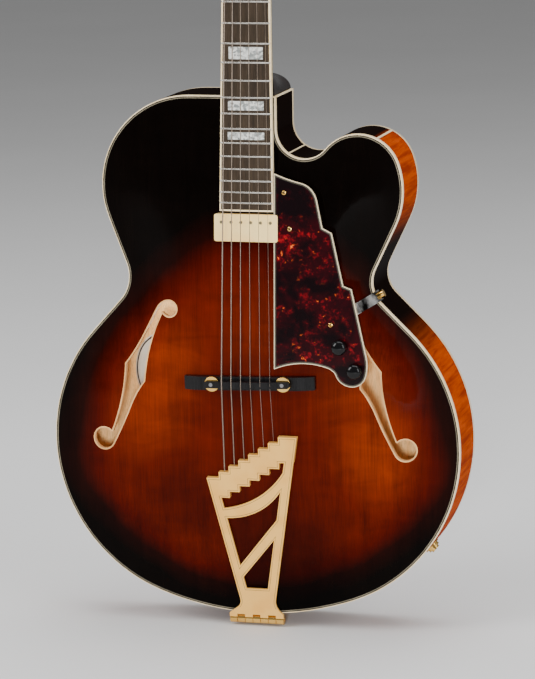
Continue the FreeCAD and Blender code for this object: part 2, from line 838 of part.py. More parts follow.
# Neck, headstock and fingerboard
def neck_section(place, half_width, depth, squareness=1.0):
    """A closed section of the neck: flat in front, round or boxy behind."""
    points = []
    for step in range(SECTION_STEPS + 1):
        angle = math.pi * step / SECTION_STEPS
        across = math.copysign(abs(math.cos(angle)) ** squareness, math.cos(angle))
        points.append(place.multVec(Vector(half_width * across, depth * math.sin(angle) ** squareness, 0)))
    back = Part.BSplineCurve()
    back.interpolate(points)
    return Part.Wire([back.toShape(), line_edge(points[-1], points[0])])


def heel_section(y):
    """A section of the heel across the neck joint, flat against the body."""
    foot_y = half_depth
    top_y = board_at_joint + size("fingerboard_thickness") + 0.6 * size("neck_depth_heel")
    share = (foot_y - y) / (foot_y - top_y)
    length = size("heel_foot_length") + (size("heel_top_length") - size("heel_foot_length")) * share ** 3.2
    half_width = size("heel_width") / 2 * (0.94 + 0.06 * share)
    points = []
    for step in range(SECTION_STEPS + 1):
        angle = math.pi * step / SECTION_STEPS
        points.append(Vector(half_width * math.cos(angle), y, size("body_length") + length * math.sin(angle)))
    curve = Part.BSplineCurve()
    curve.interpolate(points)
    return Part.Wire([curve.toShape(), line_edge(points[-1], points[0])])


def head_half_width(height):
    """Half the headstock's width at a height above the nut, along its straight flanks."""
    low = size("head_cheek_height")
    share = (height - low) / (size("head_length") - size("head_crown") - low)
    return (size("head_cheek_width") + share * (size("head_top_width") - size("head_cheek_width"))) / 2


def head_outline(inset=0.0):
    """Headstock outline: it flares from the nut to the cheeks, widens evenly and ends in a shallow arch."""
    waist = size("head_waist_width") / 2 - inset
    cheek = size("head_cheek_width") / 2 - inset
    top = size("head_top_width") / 2 - inset
    cheek_z = size("head_cheek_height")
    top_z = size("head_length") - size("head_crown") - inset
    crown_z = size("head_length") - inset
    flank = Vector(top - cheek, 0, top_z - cheek_z)
    edges = []
    for side in (1, -1):
        run = [Vector(side * x, 0, z) for x, z in ((waist, 0), (cheek, cheek_z), (top, top_z))]
        rise = Vector(side * flank.x, 0, flank.z)
        flare = biarc(run[0], Vector(0, 0, 1), run[1], rise)
        if side > 0:
            edges += flare + [line_edge(run[1], run[2])]
            edges.append(Part.Arc(run[2], Vector(0, 0, crown_z), Vector(-top, 0, top_z)).toShape())
        else:
            edges += [line_edge(run[2], run[1])] + flare[::-1]
    edges.append(line_edge(Vector(-waist, 0, 0), Vector(waist, 0, 0)))
    return Part.Wire(Part.__sortEdges__(edges))


def tuner_seat(string):
    """Where a string's post stands on the headstock: side, x and height above the nut."""
    side = 1 if string <= 3 else -1
    place = string - 1 if string <= 3 else 6 - string
    height = size("tuner_first") + size("tuner_spacing") * place
    return side, side * size("tuner_row_spacing") / 2, height


def placed(shape, frame):
    """A shape moved from its local frame to the guitar."""
    shape.Placement = frame.multiply(shape.Placement)
    return shape


def post_holes(front, back, diameter):
    """Rods through the headstock at the six posts, between two depths."""
    holes = []
    for string in STRINGS:
        side, x, height = tuner_seat(string)
        holes.append(rod(Vector(x, front, height), Vector(x, back, height), diameter / 2))
    return Part.makeCompound(holes)


def rod_pocket(front, back, margin):
    """The pocket in the headstock where the truss rod's nut is reached."""
    half = size("truss_rod_pocket_width") / 2 + margin
    return block((-half, half), (front, back), (-2 * margin, size("truss_rod_pocket_length") + margin))


def build_neck():
    """One-piece neck: shaft, heel, tongue over the top, and headstock."""
    under = size("fingerboard_thickness")
    run_out = 10.0
    joint = fret_distance(JOIN_FRET)
    sections = []
    for distance, depth in ((-size("nut_length"), size("neck_depth_nut")), (joint / 2, None),
                            (joint + run_out, size("neck_depth_heel"))):
        middle = (size("neck_depth_nut") + size("neck_depth_heel")) / 2
        place = neck_frame.multiply(moved(0, under, -distance))
        sections.append(neck_section(place, board_half_width(max(distance, 0)), depth or middle))
    shaft = Part.makeLoft(sections, True, False)
    top_y = board_at_joint + under + 0.6 * size("neck_depth_heel")
    foot_y = half_depth - size("heel_cap_thickness")
    stations = [top_y + (foot_y - top_y) * step / 5 for step in range(6)]
    heel = Part.makeLoft([heel_section(y) for y in stations], True, False)
    cap = heel_section(foot_y)
    cap_face = Part.Face(cap)
    node(shaped("heel_cap", cap_face.extrude(Vector(0, size("heel_cap_thickness"), 0))))
    below = block((-REACH, REACH), (-REACH, REACH), (0, size("body_length")))
    shaft = shaft.fuse(heel).cut(below)
    head = prism([head_outline()], 0, size("head_thickness"))
    head = head.cut(post_holes(-REACH, REACH, size("bushing_diameter") + 2 * size("fit_clearance")))
    head = placed(head, head_frame)
    throat_z = size("head_cheek_height") * 0.8
    throat = Part.makeLoft([
        neck_section(neck_frame.multiply(moved(0, under + 0.5, -30)), board_half_width(30) - 0.8,
                     size("neck_depth_nut") - 0.8),
        neck_section(head_frame.multiply(moved(0, 0.5, throat_z)), size("head_waist_width") / 2,
                     size("head_thickness") - 1.2, 0.4)], True, False)
    whole = shaft.fuse([head, throat, tongue()]).removeSplitter()
    rod_radius = size("truss_rod_diameter") / 2 + size("fit_clearance")
    axis_y = under + size("truss_rod_depth")
    bore_end = size("nut_length") + size("truss_rod_pocket_length") / 2 + size("free_clearance")
    bore = rod(Vector(0, axis_y, size("tongue_margin") - joint), Vector(0, axis_y, bore_end), rod_radius)
    whole = whole.cut(placed(bore, neck_frame))
    front = block((-REACH, REACH), (-REACH, under), (-REACH, size("nut_length")))
    whole = whole.cut(placed(front, neck_frame))
    pocket = rod_pocket(-REACH, size("head_thickness") * 0.75, 0)
    whole = whole.cut(placed(pocket, head_frame))
    whole = whole.cut(screw_holes(cover_screws()))
    whole = whole.cut(doc.getObject("top_plate").Shape)
    node(shaped("neck", max(whole.Solids, key=lambda solid: solid.Volume)))


def tongue():
    """The part of the neck that carries the fingerboard out over the top, down to the plate."""
    half = size("tongue_width") / 2
    under = size("fingerboard_thickness") / math.cos(neck_tilt)
    front_z = board_end_z + size("tongue_margin")
    back_z = size("body_length") + size("heel_foot_length")
    corners = []
    for z in (front_z, back_z):
        corners.append(Vector(-half, nut_y - (nut_z - z) * math.tan(neck_tilt) + under, z))
    low_end = min(arch_height(x, front_z) for x in (-half, 0, half)) - size("free_clearance")
    corners.append(Vector(-half, -half_depth - size("free_clearance"), back_z))
    corners.append(Vector(-half, -half_depth - size("free_clearance"), size("body_length") - 1))
    corners.append(Vector(-half, max(low_end, corners[0].y + 2), front_z))
    side = Part.Face(Part.makePolygon(corners + corners[:1]))
    return side.extrude(Vector(2 * half, 0, 0))


def board_sector(half_width, low, high):
    """A slice across the fingerboard between two heights above its round top."""
    radius = size("fingerboard_radius")
    arcs = []
    for height in (low, high):
        ends = []
        for x in (-half_width, half_width):
            ends.append(Vector(x, radius - math.sqrt((radius + height) ** 2 - x * x), 0))
        arcs.append((ends[0], Vector(0, -height, 0), ends[1]))
    (left_low, mid_low, right_low), (left_high, mid_high, right_high) = arcs
    edges = [Part.Arc(left_low, mid_low, right_low).toShape(), line_edge(right_low, right_high),
             Part.Arc(right_high, mid_high, left_high).toShape(), line_edge(left_high, left_low)]
    return Part.Face(Part.Wire(edges))


def crossbar(distance, length, half_width, low, high):
    """A bar across the fingerboard that starts at a distance down from the nut and runs on down."""
    face = board_sector(half_width, low, high)
    face.translate(Vector(0, 0, -distance))
    return face.extrude(Vector(0, 0, -length))


def board_blank(inset, length):
    """The tapered fingerboard, set in at its sides, with a round top."""
    ends = [(board_half_width(0) - inset, 0), (board_half_width(length) - inset, -length)]
    (top, top_z), (foot, foot_z) = ends
    taper = polygon([(-top, top_z), (-foot, foot_z), (foot, foot_z), (top, top_z)])
    slab = prism([taper], -5, size("fingerboard_thickness") + 5)
    radius = size("fingerboard_radius")
    return slab.common(rod(Vector(0, radius, -length - 1), Vector(0, radius, 1), radius))


def build_fingerboard():
    """Fingerboard with its binding, frets, block inlays and the nut."""
    edge = size("fingerboard_binding_width")
    core = board_blank(edge, board_length - edge)
    whole = board_blank(0, board_length)
    inlays = []
    for fret in INLAY_FRETS:
        upper = fret_distance(fret - 1) + size("inlay_gap")
        lower = fret_distance(fret) - size("inlay_gap")
        half = board_half_width(upper) - size("inlay_side_margin")
        inlays.append(crossbar(upper, lower - upper, half, -size("inlay_depth"), 0))
    frets = []
    for fret in range(1, LAST_FRET + 1):
        distance = fret_distance(fret)
        half = board_half_width(distance) - size("fret_inset")
        lower_edge = distance - size("fret_width") / 2
        frets.append(crossbar(lower_edge, size("fret_width"), half, 0, size("fret_height")))
    pieces = {
        "fingerboard": core.cut(Part.makeCompound(inlays)),
        "fingerboard_binding": whole.cut(board_blank(edge, board_length - edge)),
        "frets": Part.makeCompound(frets),
        "block_inlays": Part.makeCompound(inlays),
    }
    for name, shape in pieces.items():
        node(shaped(name, placed(shape, neck_frame)))
    half = size("fingerboard_nut_width") / 2
    length = size("nut_length")
    saddle_nut = block((-half, half), (-5, size("fingerboard_thickness")), (0, length))
    radius = size("fingerboard_radius")
    crown = rod(Vector(0, radius, -1), Vector(0, radius, length + 1), radius + size("nut_rise"))
    saddle_nut = placed(saddle_nut.common(crown), neck_frame)
    for string in STRINGS:
        before, corner, after = string_points(string)[1:4]
        for end in (before, after):
            reach = (end - corner).normalize() * 3 * length
            slot = rod(corner, corner + reach, string_radius(string) + size("fit_clearance"))
            saddle_nut = saddle_nut.cut(slot)
    node(shaped("nut", saddle_nut))


def build_head_trim():
    """Headstock overlay, truss rod and its cover."""
    thickness = size("overlay_thickness")
    overlay = prism([head_outline()], -thickness, thickness)
    overlay = overlay.cut(post_holes(-REACH, REACH, size("bushing_diameter") + 2 * size("fit_clearance")))
    overlay = overlay.cut(rod_pocket(-REACH, REACH, 0))
    node(shaped("headstock_overlay", placed(overlay, head_frame).cut(screw_holes(cover_screws()))))
    margin = size("rod_cover_margin")
    half = size("truss_rod_pocket_width") / 2 + margin
    tip = size("truss_rod_pocket_length") + 3 * margin
    foot = size("rod_cover_margin")
    edges = [line_edge(Vector(-half, 0, foot), Vector(half, 0, foot))]
    edges += biarc(Vector(half, 0, foot), Vector(0.15, 0, 1), Vector(0, 0, tip), Vector(-0.75, 0, 0.66))
    edges += biarc(Vector(0, 0, tip), Vector(-0.75, 0, -0.66), Vector(-half, 0, foot), Vector(0.15, 0, -1))
    cover = prism([Part.Wire(edges)], -thickness - size("rod_cover_thickness"), size("rod_cover_thickness"))
    drills = screw_holes(cover_screws())
    node(shaped("truss_rod_cover", placed(cover, head_frame).cut(drills)))
    axis_y = size("fingerboard_thickness") + size("truss_rod_depth")
    foot_place = neck_frame.multiply(moved(0, axis_y, size("tongue_margin") - fret_distance(JOIN_FRET)))
    length = f"scale_length * (1 - 2 ^ (-{JOIN_FRET} / 12)) + nut_length - tongue_margin"
    bar = primitive("Cylinder", "truss_rod_bar", foot_place, Radius="truss_rod_diameter / 2", Height=length)
    nut_place = neck_frame.multiply(moved(0, axis_y, size("nut_length")))
    nut = primitive("Prism", "truss_rod_nut", nut_place, Circumradius="truss_rod_diameter / 2",
                    Height="truss_rod_pocket_length / 2")
    nut.Polygon = 6
    node(fused("truss_rod", [bar, nut]))


def cover_screws():
    """Places of the two screws that hold the truss rod cover, beside the pocket and at the tip."""
    face = -size("overlay_thickness") - size("rod_cover_thickness")
    margin = size("rod_cover_margin")
    beyond = size("truss_rod_pocket_length") + 0.7 * size("screw_head_diameter")
    tip = size("truss_rod_pocket_length") + 3 * margin - 1.4 * size("screw_head_diameter")
    outward = Rotation(Vector(0, 0, 1), Vector(0, -1, 0))
    return [head_frame.multiply(Placement(Vector(0, face, z), outward)) for z in (beyond, tip)]


def screw_holes(places):
    """Clearance holes for small screws that sit at these places."""
    holes = []
    for place in places:
        along = place.Rotation.multVec(Vector(0, 0, 1))
        foot = place.Base - along * (size("screw_length") + size("free_clearance"))
        holes.append(rod(foot, place.Base + along * size("screw_length"),
                         size("screw_diameter") / 2 + size("fit_clearance")))
    return Part.makeCompound(holes)


# Tuning machines
def worm_axis():
    """The button shaft's offset from the post, down the headstock, and its depth behind the head."""
    offset = (size("wheel_diameter") + size("worm_diameter")) / 2 + size("free_clearance")
    depth = size("head_thickness") + size("housing_wall") + size("worm_diameter") / 2 + size("free_clearance")
    return offset, depth


def build_tuners():
    """Six sealed machines: housing, bushing, post with its wheel, and button with its worm."""
    offset, depth = worm_axis()
    wall = size("housing_wall")
    back = size("head_thickness")
    housings = []
    bushings = []
    front = "overlay_thickness"
    wheel_base = "(head_thickness + housing_wall + worm_diameter / 2 + free_clearance + wheel_length / 2)"
    for string in STRINGS:
        side, x, height = tuner_seat(string)
        half = size("housing_width") / 2
        low = height - offset - size("worm_diameter") / 2 - wall - 2 * size("free_clearance")
        high = low + size("housing_length")
        shell = block((x - half, x + half), (back, back + size("housing_depth")), (low, high))
        shell = shell.makeFillet(2.0, [edge for edge in shell.Edges if edge.CenterOfMass.y > back + 0.6
                                       * size("housing_depth")])
        hollow = block((x - half + wall, x + half - wall), (back + wall, back + size("housing_depth") - wall),
                       (low + wall, high - wall))
        shaft = size("button_shaft_diameter") / 2 + size("running_clearance")
        post = size("post_diameter") / 2 + size("running_clearance")
        shell = shell.cut(hollow)
        shaft_start = Vector(x, depth, height - offset)
        shaft_end = shaft_start + Vector(side * size("housing_length") * 2, 0, 0)
        shell = shell.cut(rod(shaft_start, shaft_end, shaft))
        shell = shell.cut(rod(Vector(x, 0, height), Vector(x, back + 2 * wall, height), post))
        housings.append(placed(shell, head_frame))
        outward = Rotation(Vector(0, 0, 1), Vector(0, -1, 0))
        seat = head_frame.multiply(Placement(Vector(x, 0, height), outward))
        bushings.append(turned(f"bushing_{string}", [
            ("post_diameter / 2 + running_clearance", "-head_thickness / 2"),
            ("bushing_diameter / 2", "-head_thickness / 2"),
            ("bushing_diameter / 2", front),
            ("bushing_flange / 2", front),
            ("bushing_flange / 2", f"{front} + bushing_flange_height"),
            ("post_diameter / 2 + running_clearance", f"{front} + bushing_flange_height"),
        ], seat))
        node(turned(f"tuner_post_{string}", [
            ("0", f"-{wheel_base}"),
            ("wheel_diameter / 2", f"-{wheel_base}"),
            ("wheel_diameter / 2", f"wheel_length - {wheel_base}"),
            ("post_diameter / 2", f"wheel_length - {wheel_base}"),
            ("post_diameter / 2", f"{front} + post_height"),
            ("0", f"{front} + post_height"),
        ], seat))
        edge = head_half_width(height - offset)
        sideways = Rotation(Vector(0, 0, 1), Vector(side, 0, 0))
        worm_start = half - wall - size("free_clearance")
        worm_spot = Vector(x - side * worm_start, depth, height - offset)
        worm_place = head_frame.multiply(Placement(worm_spot, sideways))
        worm = primitive("Cylinder", f"worm_{string}", worm_place, Radius="worm_diameter / 2",
                         Height="housing_width - 2 * housing_wall - 2 * free_clearance")
        bar = primitive("Cylinder", f"button_shaft_{string}", worm_place, Radius="button_shaft_diameter / 2")
        bar.Height = abs(edge + size("button_reach") - abs(x) + worm_start)
        grip_place = head_frame.multiply(Placement(Vector(side * (edge + size("button_reach")), depth,
                                                          height - offset), sideways))
        grip = primitive("Ellipsoid", f"button_grip_{string}", grip_place, Radius1="button_length / 2",
                         Radius2="button_thickness / 2", Radius3="button_height / 2")
        node(fused(f"tuner_button_{string}", [worm, bar, grip]))
    node(shaped("tuner_housings", Part.makeCompound(housings)))
    node(grouped("tuner_bushings", bushings))


# Strings
def string_radius(string):
    """Half the thickness of a string."""
    return size(f"string_diameter_{string}") / 2


def string_place(string, spacing):
    """How far a string lies from the centre line at a given spacing."""
    return (3.5 - string) * size(spacing)


def tail_tread(string):
    """Where a string enters the tailpiece: x and height of its step, in the tailpiece's frame."""
    step = 6 - string
    x = (step + 0.5) * size("tail_step_run") - size("tail_stairs_left")
    return x, size("tail_first_step") + (step + 1) * size("tail_step_rise")


def post_tangent(string, nut_point):
    """Where a string meets its post, on the side nearer the centre line, in the headstock's frame."""
    side, x, height = tuner_seat(string)
    ring = size("post_diameter") / 2 + size("free_clearance") + string_radius(string)
    run = x - nut_point.x
    rise = height - nut_point.z
    reach = math.hypot(run, rise)
    angle = math.atan2(rise, run) + side * math.asin(ring / reach)
    length = math.sqrt(reach * reach - ring * ring)
    start_y = -size("overlay_thickness") - size("post_height") * 0.52
    landing_x = nut_point.x + length * math.cos(angle)
    landing_z = nut_point.z + length * math.sin(angle)
    return Vector(landing_x, start_y, landing_z), ring


def string_points(string):
    """The corners of a string's run: inside the tailpiece, its lip, the saddle, the nut and the post."""
    radius = string_radius(string)
    x, height = tail_tread(string)
    depth = size("tail_band_thickness") * 0.6
    anchor = tail_frame.multVec(Vector(x, depth, height - size("tail_band_height") * 0.35))
    x = string_place(string, "string_spacing_bridge")
    lift = radius + 2 * size("fit_clearance")
    saddle = bridge_frame.multVec(Vector(x, crest_y + camber(x) - lift, 0))
    x = string_place(string, "string_spacing_nut")
    above_board = size("string_height_nut") + lift
    nut = neck_frame.multVec(Vector(x, camber(x) - above_board, size("nut_length") / 2))
    landing = post_tangent(string, head_frame.inverse().multVec(nut))[0]
    return [anchor, saddle, nut, head_frame.multVec(landing)]


def winding(string, arrival):
    """Turns of a string round its post, as quarter-turn arcs, and the gap between neighbouring turns."""
    side, x, height = tuner_seat(string)
    nut = head_frame.inverse().multVec(string_points(string)[2])
    start, ring = post_tangent(string, nut)
    begin = math.atan2(start.z - height, start.x - x)
    pitch = 2 * string_radius(string) + size("winding_gap")
    points = []
    tangents = []
    quarters = int(size("winding_turns") * 4)
    for quarter in range(quarters + 1):
        angle = begin - side * quarter * math.pi / 2
        out = ring * math.cos(angle)
        up = ring * math.sin(angle)
        points.append(Vector(x + out, start.y + pitch * quarter / 4, height + up))
        tangents.append(Vector(side * up, pitch / (2 * math.pi), -side * out))
    points = [head_frame.multVec(point) for point in points]
    tangents = [head_frame.Rotation.multVec(tangent) for tangent in tangents]
    tangents[0] = Vector(arrival)
    edges = []
    for quarter in range(quarters):
        edges += biarc(points[quarter], Vector(tangents[quarter]), points[quarter + 1],
                       Vector(tangents[quarter + 1]))
    least = min((points[turn + 4] - points[turn]).Length for turn in range(quarters - 3))
    return edges, least - 2 * string_radius(string)


def build_strings():
    """Six strings from the tailpiece over saddle and nut to their turns round the posts."""
    for string in STRINGS:
        points = string_points(string)
        edges = rounded_path(points, size("string_bend"))
        arrival = (points[-1] - points[-2]).normalize()
        turns, gap = winding(string, arrival)
        print(f"string {string}: least gap between turns {gap:.3f} mm")
        direction = points[1] - points[0]
        node(shaped(f"string_{string}", tube(edges + turns, points[0], direction, string_radius(string))))


# Bridge
def build_bridge():
    """Arched base, two studs with thumbwheels, and the saddle that they lift."""
    gap = size("free_clearance")
    saddle_foot = crest_y + size("saddle_height")
    wheel_foot = saddle_foot + size("fit_clearance") + size("thumbwheel_thickness")
    base_top = wheel_foot + size("thumbwheel_travel")
    half = size("bridge_base_length") / 2
    flat = size("bridge_base_flat") / 2
    half_width = size("bridge_base_width") / 2
    end_top = base_top + size("bridge_end_slope")
    left, right = Vector(-flat, base_top, -half_width), Vector(flat, base_top, -half_width)
    left_end, right_end = Vector(-half, end_top, -half_width), Vector(half, end_top, -half_width)
    left_foot, right_foot = Vector(-half, 0, -half_width), Vector(half, 0, -half_width)
    edges = [line_edge(left_foot, left_end), arc_edge(left, Vector(-1, 0, 0), left_end, backwards=True),
             line_edge(left, right), arc_edge(right, Vector(1, 0, 0), right_end),
             line_edge(right_end, right_foot), line_edge(right_foot, left_foot)]
    base = Part.Face(Part.Wire(edges)).extrude(Vector(0, 0, size("bridge_base_width")))
    base = placed(base, bridge_frame)
    around = base.BoundBox
    margin = size("bridge_base_width") / 2
    ground = arch.common(block((around.XMin - margin, around.XMax + margin), (-REACH, REACH),
                               (around.ZMin - margin, around.ZMax + margin))).Faces[0]
    base = base.cut(ground.extrude(Vector(0, REACH, 0)))
    raised = ground.copy()
    raised.translate(Vector(0, -size("bridge_foot_gap_height"), 0))
    arcade = size("bridge_foot_gap_length") / 2
    passage = block((-arcade, arcade), (-REACH, REACH), (-2 * half_width, 2 * half_width))
    base = base.cut(raised.extrude(Vector(0, REACH, 0)).common(placed(passage, bridge_frame)))
    studs = []
    stud_top = crest_y + camber(size("stud_spacing") / 2) - gap
    for name, side in SIDES.items():
        x = side * size("stud_spacing") / 2
        foot = bridge_frame.multVec(Vector(x, base_top + 3.0, 0))
        stud_place = pointing(foot, Vector(0, -1, 0))
        stud = primitive("Cylinder", f"stud_{name}", stud_place, Radius="stud_diameter / 2")
        stud.Height = foot.y - stud_top
        studs.append(stud)
        stud_hole = size("stud_diameter") / 2 + size("fit_clearance")
        base = base.cut(rod(foot, foot + Vector(0, -20, 0), stud_hole))
        seat = pointing(bridge_frame.multVec(Vector(x, wheel_foot, 0)), Vector(0, -1, 0))
        node(turned(f"thumbwheel_{name}", [
            ("stud_diameter / 2 + running_clearance", "0"),
            ("thumbwheel_diameter / 2", "0"),
            ("thumbwheel_diameter / 2", "thumbwheel_thickness"),
            ("stud_diameter / 2 + running_clearance", "thumbwheel_thickness"),
        ], seat))
    node(shaped("bridge_base", base))
    node(grouped("bridge_studs", studs))
    node(shaped("bridge_saddle", saddle_shape(saddle_foot)))


def saddle_shape(foot_y):
    """The saddle: round ends over the studs and a crest that follows the fingerboard's curve."""
    half = size("saddle_length") / 2
    thick = size("saddle_width") / 2
    run = half - size("saddle_end_round")
    edges = [line_edge(Vector(-run, 0, -thick), Vector(run, 0, -thick)),
             Part.Arc(Vector(run, 0, -thick), Vector(half, 0, 0), Vector(run, 0, thick)).toShape(),
             line_edge(Vector(run, 0, thick), Vector(-run, 0, thick)),
             Part.Arc(Vector(-run, 0, thick), Vector(-half, 0, 0), Vector(-run, 0, -thick)).toShape()]
    slab = prism([Part.Wire(edges)], crest_y - 5, foot_y - crest_y + 5)
    radius = size("fingerboard_radius")
    axis_y = crest_y - size("free_clearance") + radius
    slab = slab.common(rod(Vector(0, axis_y, -50), Vector(0, axis_y, 50), radius))
    for side in SIDES.values():
        foot = Vector(side * size("stud_spacing") / 2, foot_y + 1, 0)
        stud_hole = size("stud_diameter") / 2 + size("running_clearance")
        slab = slab.cut(rod(foot, foot + Vector(0, -30, 0), stud_hole))
    slab = placed(slab, bridge_frame)
    for string in STRINGS:
        before, corner, after = string_points(string)[0:3]
        bore = string_radius(string) + size("fit_clearance")
        bends = []
        for end in (before, after):
            along = (end - corner).normalize()
            slab = slab.cut(rod(corner, corner + along * 2 * size("saddle_width"), bore))
            bends.append(corner + along * size("string_bend"))
        slab = slab.cut(rod(bends[0], bends[1], bore))
    return slab


# Tailpiece
def tail_edge(side, height):
    """The outer edge of the tailpiece's arm on one side, at a height in its frame."""
    foot = side * size("tail_foot_width") / 2 + size("tail_foot_offset")
    if side < 0:
        head = -size("tail_stairs_left") - size("tail_left_cheek")
        head_z = size("tail_first_step")
    else:
        head = 6 * size("tail_step_run") - size("tail_stairs_left") + size("tail_right_cheek")
        head_z = size("tail_first_step") + 7 * size("tail_step_rise")
    return foot + (head - foot) * (height - size("tail_foot_height")) / (head_z - size("tail_foot_height"))


def stairs(drop):
    """The seven treads' corners from the bass end up, lowered by a distance."""
    corners = []
    for step in range(8):
        height = size("tail_first_step") + step * size("tail_step_rise") - drop
        left = (step - 1) * size("tail_step_run") - size("tail_stairs_left")
        right = left + size("tail_step_run")
        corners.append((left, height))
        corners.append((right, height))
    return corners


def tail_outline():
    """The stepped plate's outline with its flared foot."""
    treads = stairs(0)
    left_top = (tail_edge(-1, size("tail_first_step")), size("tail_first_step"))
    right_top = (tail_edge(1, treads[-1][1]), treads[-1][1])
    corners = [left_top] + treads[1:-1] + [right_top]
    points = [Vector(x, 0, z) for x, z in corners]
    foot_z = size("tail_foot_height")
    half = size("hinge_width") / 2
    right_foot = Vector(tail_edge(1, foot_z), 0, foot_z)
    left_foot = Vector(tail_edge(-1, foot_z), 0, foot_z)
    edges = [line_edge(start, end) for start, end in zip(points, points[1:])]
    edges.append(line_edge(points[-1], right_foot))
    edges += biarc(right_foot, right_foot - points[-1], Vector(half, 0, 0), Vector(0.8, 0, -0.6))
    lip_z = -size("tail_lip_drop")
    edges.append(line_edge(Vector(half, 0, 0), Vector(half, 0, lip_z)))
    edges.append(line_edge(Vector(half, 0, lip_z), Vector(-half, 0, lip_z)))
    edges.append(line_edge(Vector(-half, 0, lip_z), Vector(-half, 0, 0)))
    edges += biarc(Vector(-half, 0, 0), Vector(0.8, 0, 0.6), left_foot, points[0] - left_foot)
    edges.append(line_edge(left_foot, points[0]))
    return Part.Wire(edges)


def bow_edge(drop):
    """The curved bar's edge from the bass arm to the treble arm, lowered by a distance."""
    ends = []
    for side, height in ((-1, size("tail_bow_left") - drop), (1, size("tail_bow_right") - 2 * drop)):
        ends.append(Vector(tail_edge(side, height) - side * size("tail_arm_width"), 0, height))
    chord = ends[1] - ends[0]
    sag = Vector(chord.z, 0, -chord.x).normalize() * size("tail_bow_sag")
    return ends[0], ends[0] + chord / 2 + sag, ends[1]


def inner(side, height):
    """A point on the inner edge of an arm."""
    return Vector(tail_edge(side, height) - side * size("tail_arm_width"), 0, height)


def tail_windows():
    """The three openings: under the steps, between the bow and the brace, and below the brace."""
    left, sag, right = bow_edge(0)
    treads = [Vector(x, 0, z) for x, z in stairs(size("tail_band_height"))][2:]
    start = inner(-1, treads[0].z)
    end = inner(1, treads[-1].z)
    points = [left, start] + treads[1:-1] + [end, right]
    upper = [line_edge(a, b) for a, b in zip(points, points[1:])]
    upper.append(Part.Arc(right, sag, left).toShape())
    left, sag, right = bow_edge(size("tail_bar_width"))
    brace_right = inner(1, size("tail_brace_top"))
    brace_left = inner(-1, size("tail_brace_foot"))
    middle = [Part.Arc(left, sag, right).toShape(), line_edge(right, brace_right),
              line_edge(brace_right, brace_left), line_edge(brace_left, left)]
    drop = size("tail_brace_drop")
    corners = [
        inner(-1, size("tail_brace_foot") - 0.75 * drop),
        inner(1, size("tail_brace_top") - 1.3 * drop),
        inner(1, size("tail_window_foot")),
        inner(-1, size("tail_window_foot")),
    ]
    lower = Part.makePolygon(corners + corners[:1])
    return [Part.Wire(upper), Part.Wire(middle), lower]


def tail_band():
    """The outline of the thick stepped head that holds the strings."""
    treads = stairs(0)
    below = [(x, z) for x, z in stairs(size("tail_band_height"))][2:]
    points = [(tail_edge(-1, treads[0][1]), treads[0][1])] + treads[1:-1]
    points.append((tail_edge(1, treads[-1][1]), treads[-1][1]))
    points.append((tail_edge(1, below[-1][1]), below[-1][1]))
    points += below[-2:0:-1]
    points.append((tail_edge(-1, below[0][1]), below[0][1]))
    return polygon(points)


def hinge_axis():
    """A point on the hinge's axis."""
    return Vector(0, -half_depth + size("hinge_setback"), -size("hinge_drop"))


def knuckles(offset):
    """The hinge's knuckles of one leaf: every second one along the barrel."""
    pitch = size("hinge_width") / HINGE_KNUCKLES
    gap = size("hinge_gap") / 2
    axis = hinge_axis()
    pieces = []
    for index in range(offset, HINGE_KNUCKLES, 2):
        low = index * pitch - size("hinge_width") / 2 + gap
        start = Vector(low, axis.y, axis.z)
        pieces.append(rod(start, start + Vector(pitch - 2 * gap, 0, 0), size("hinge_diameter") / 2))
    return pieces


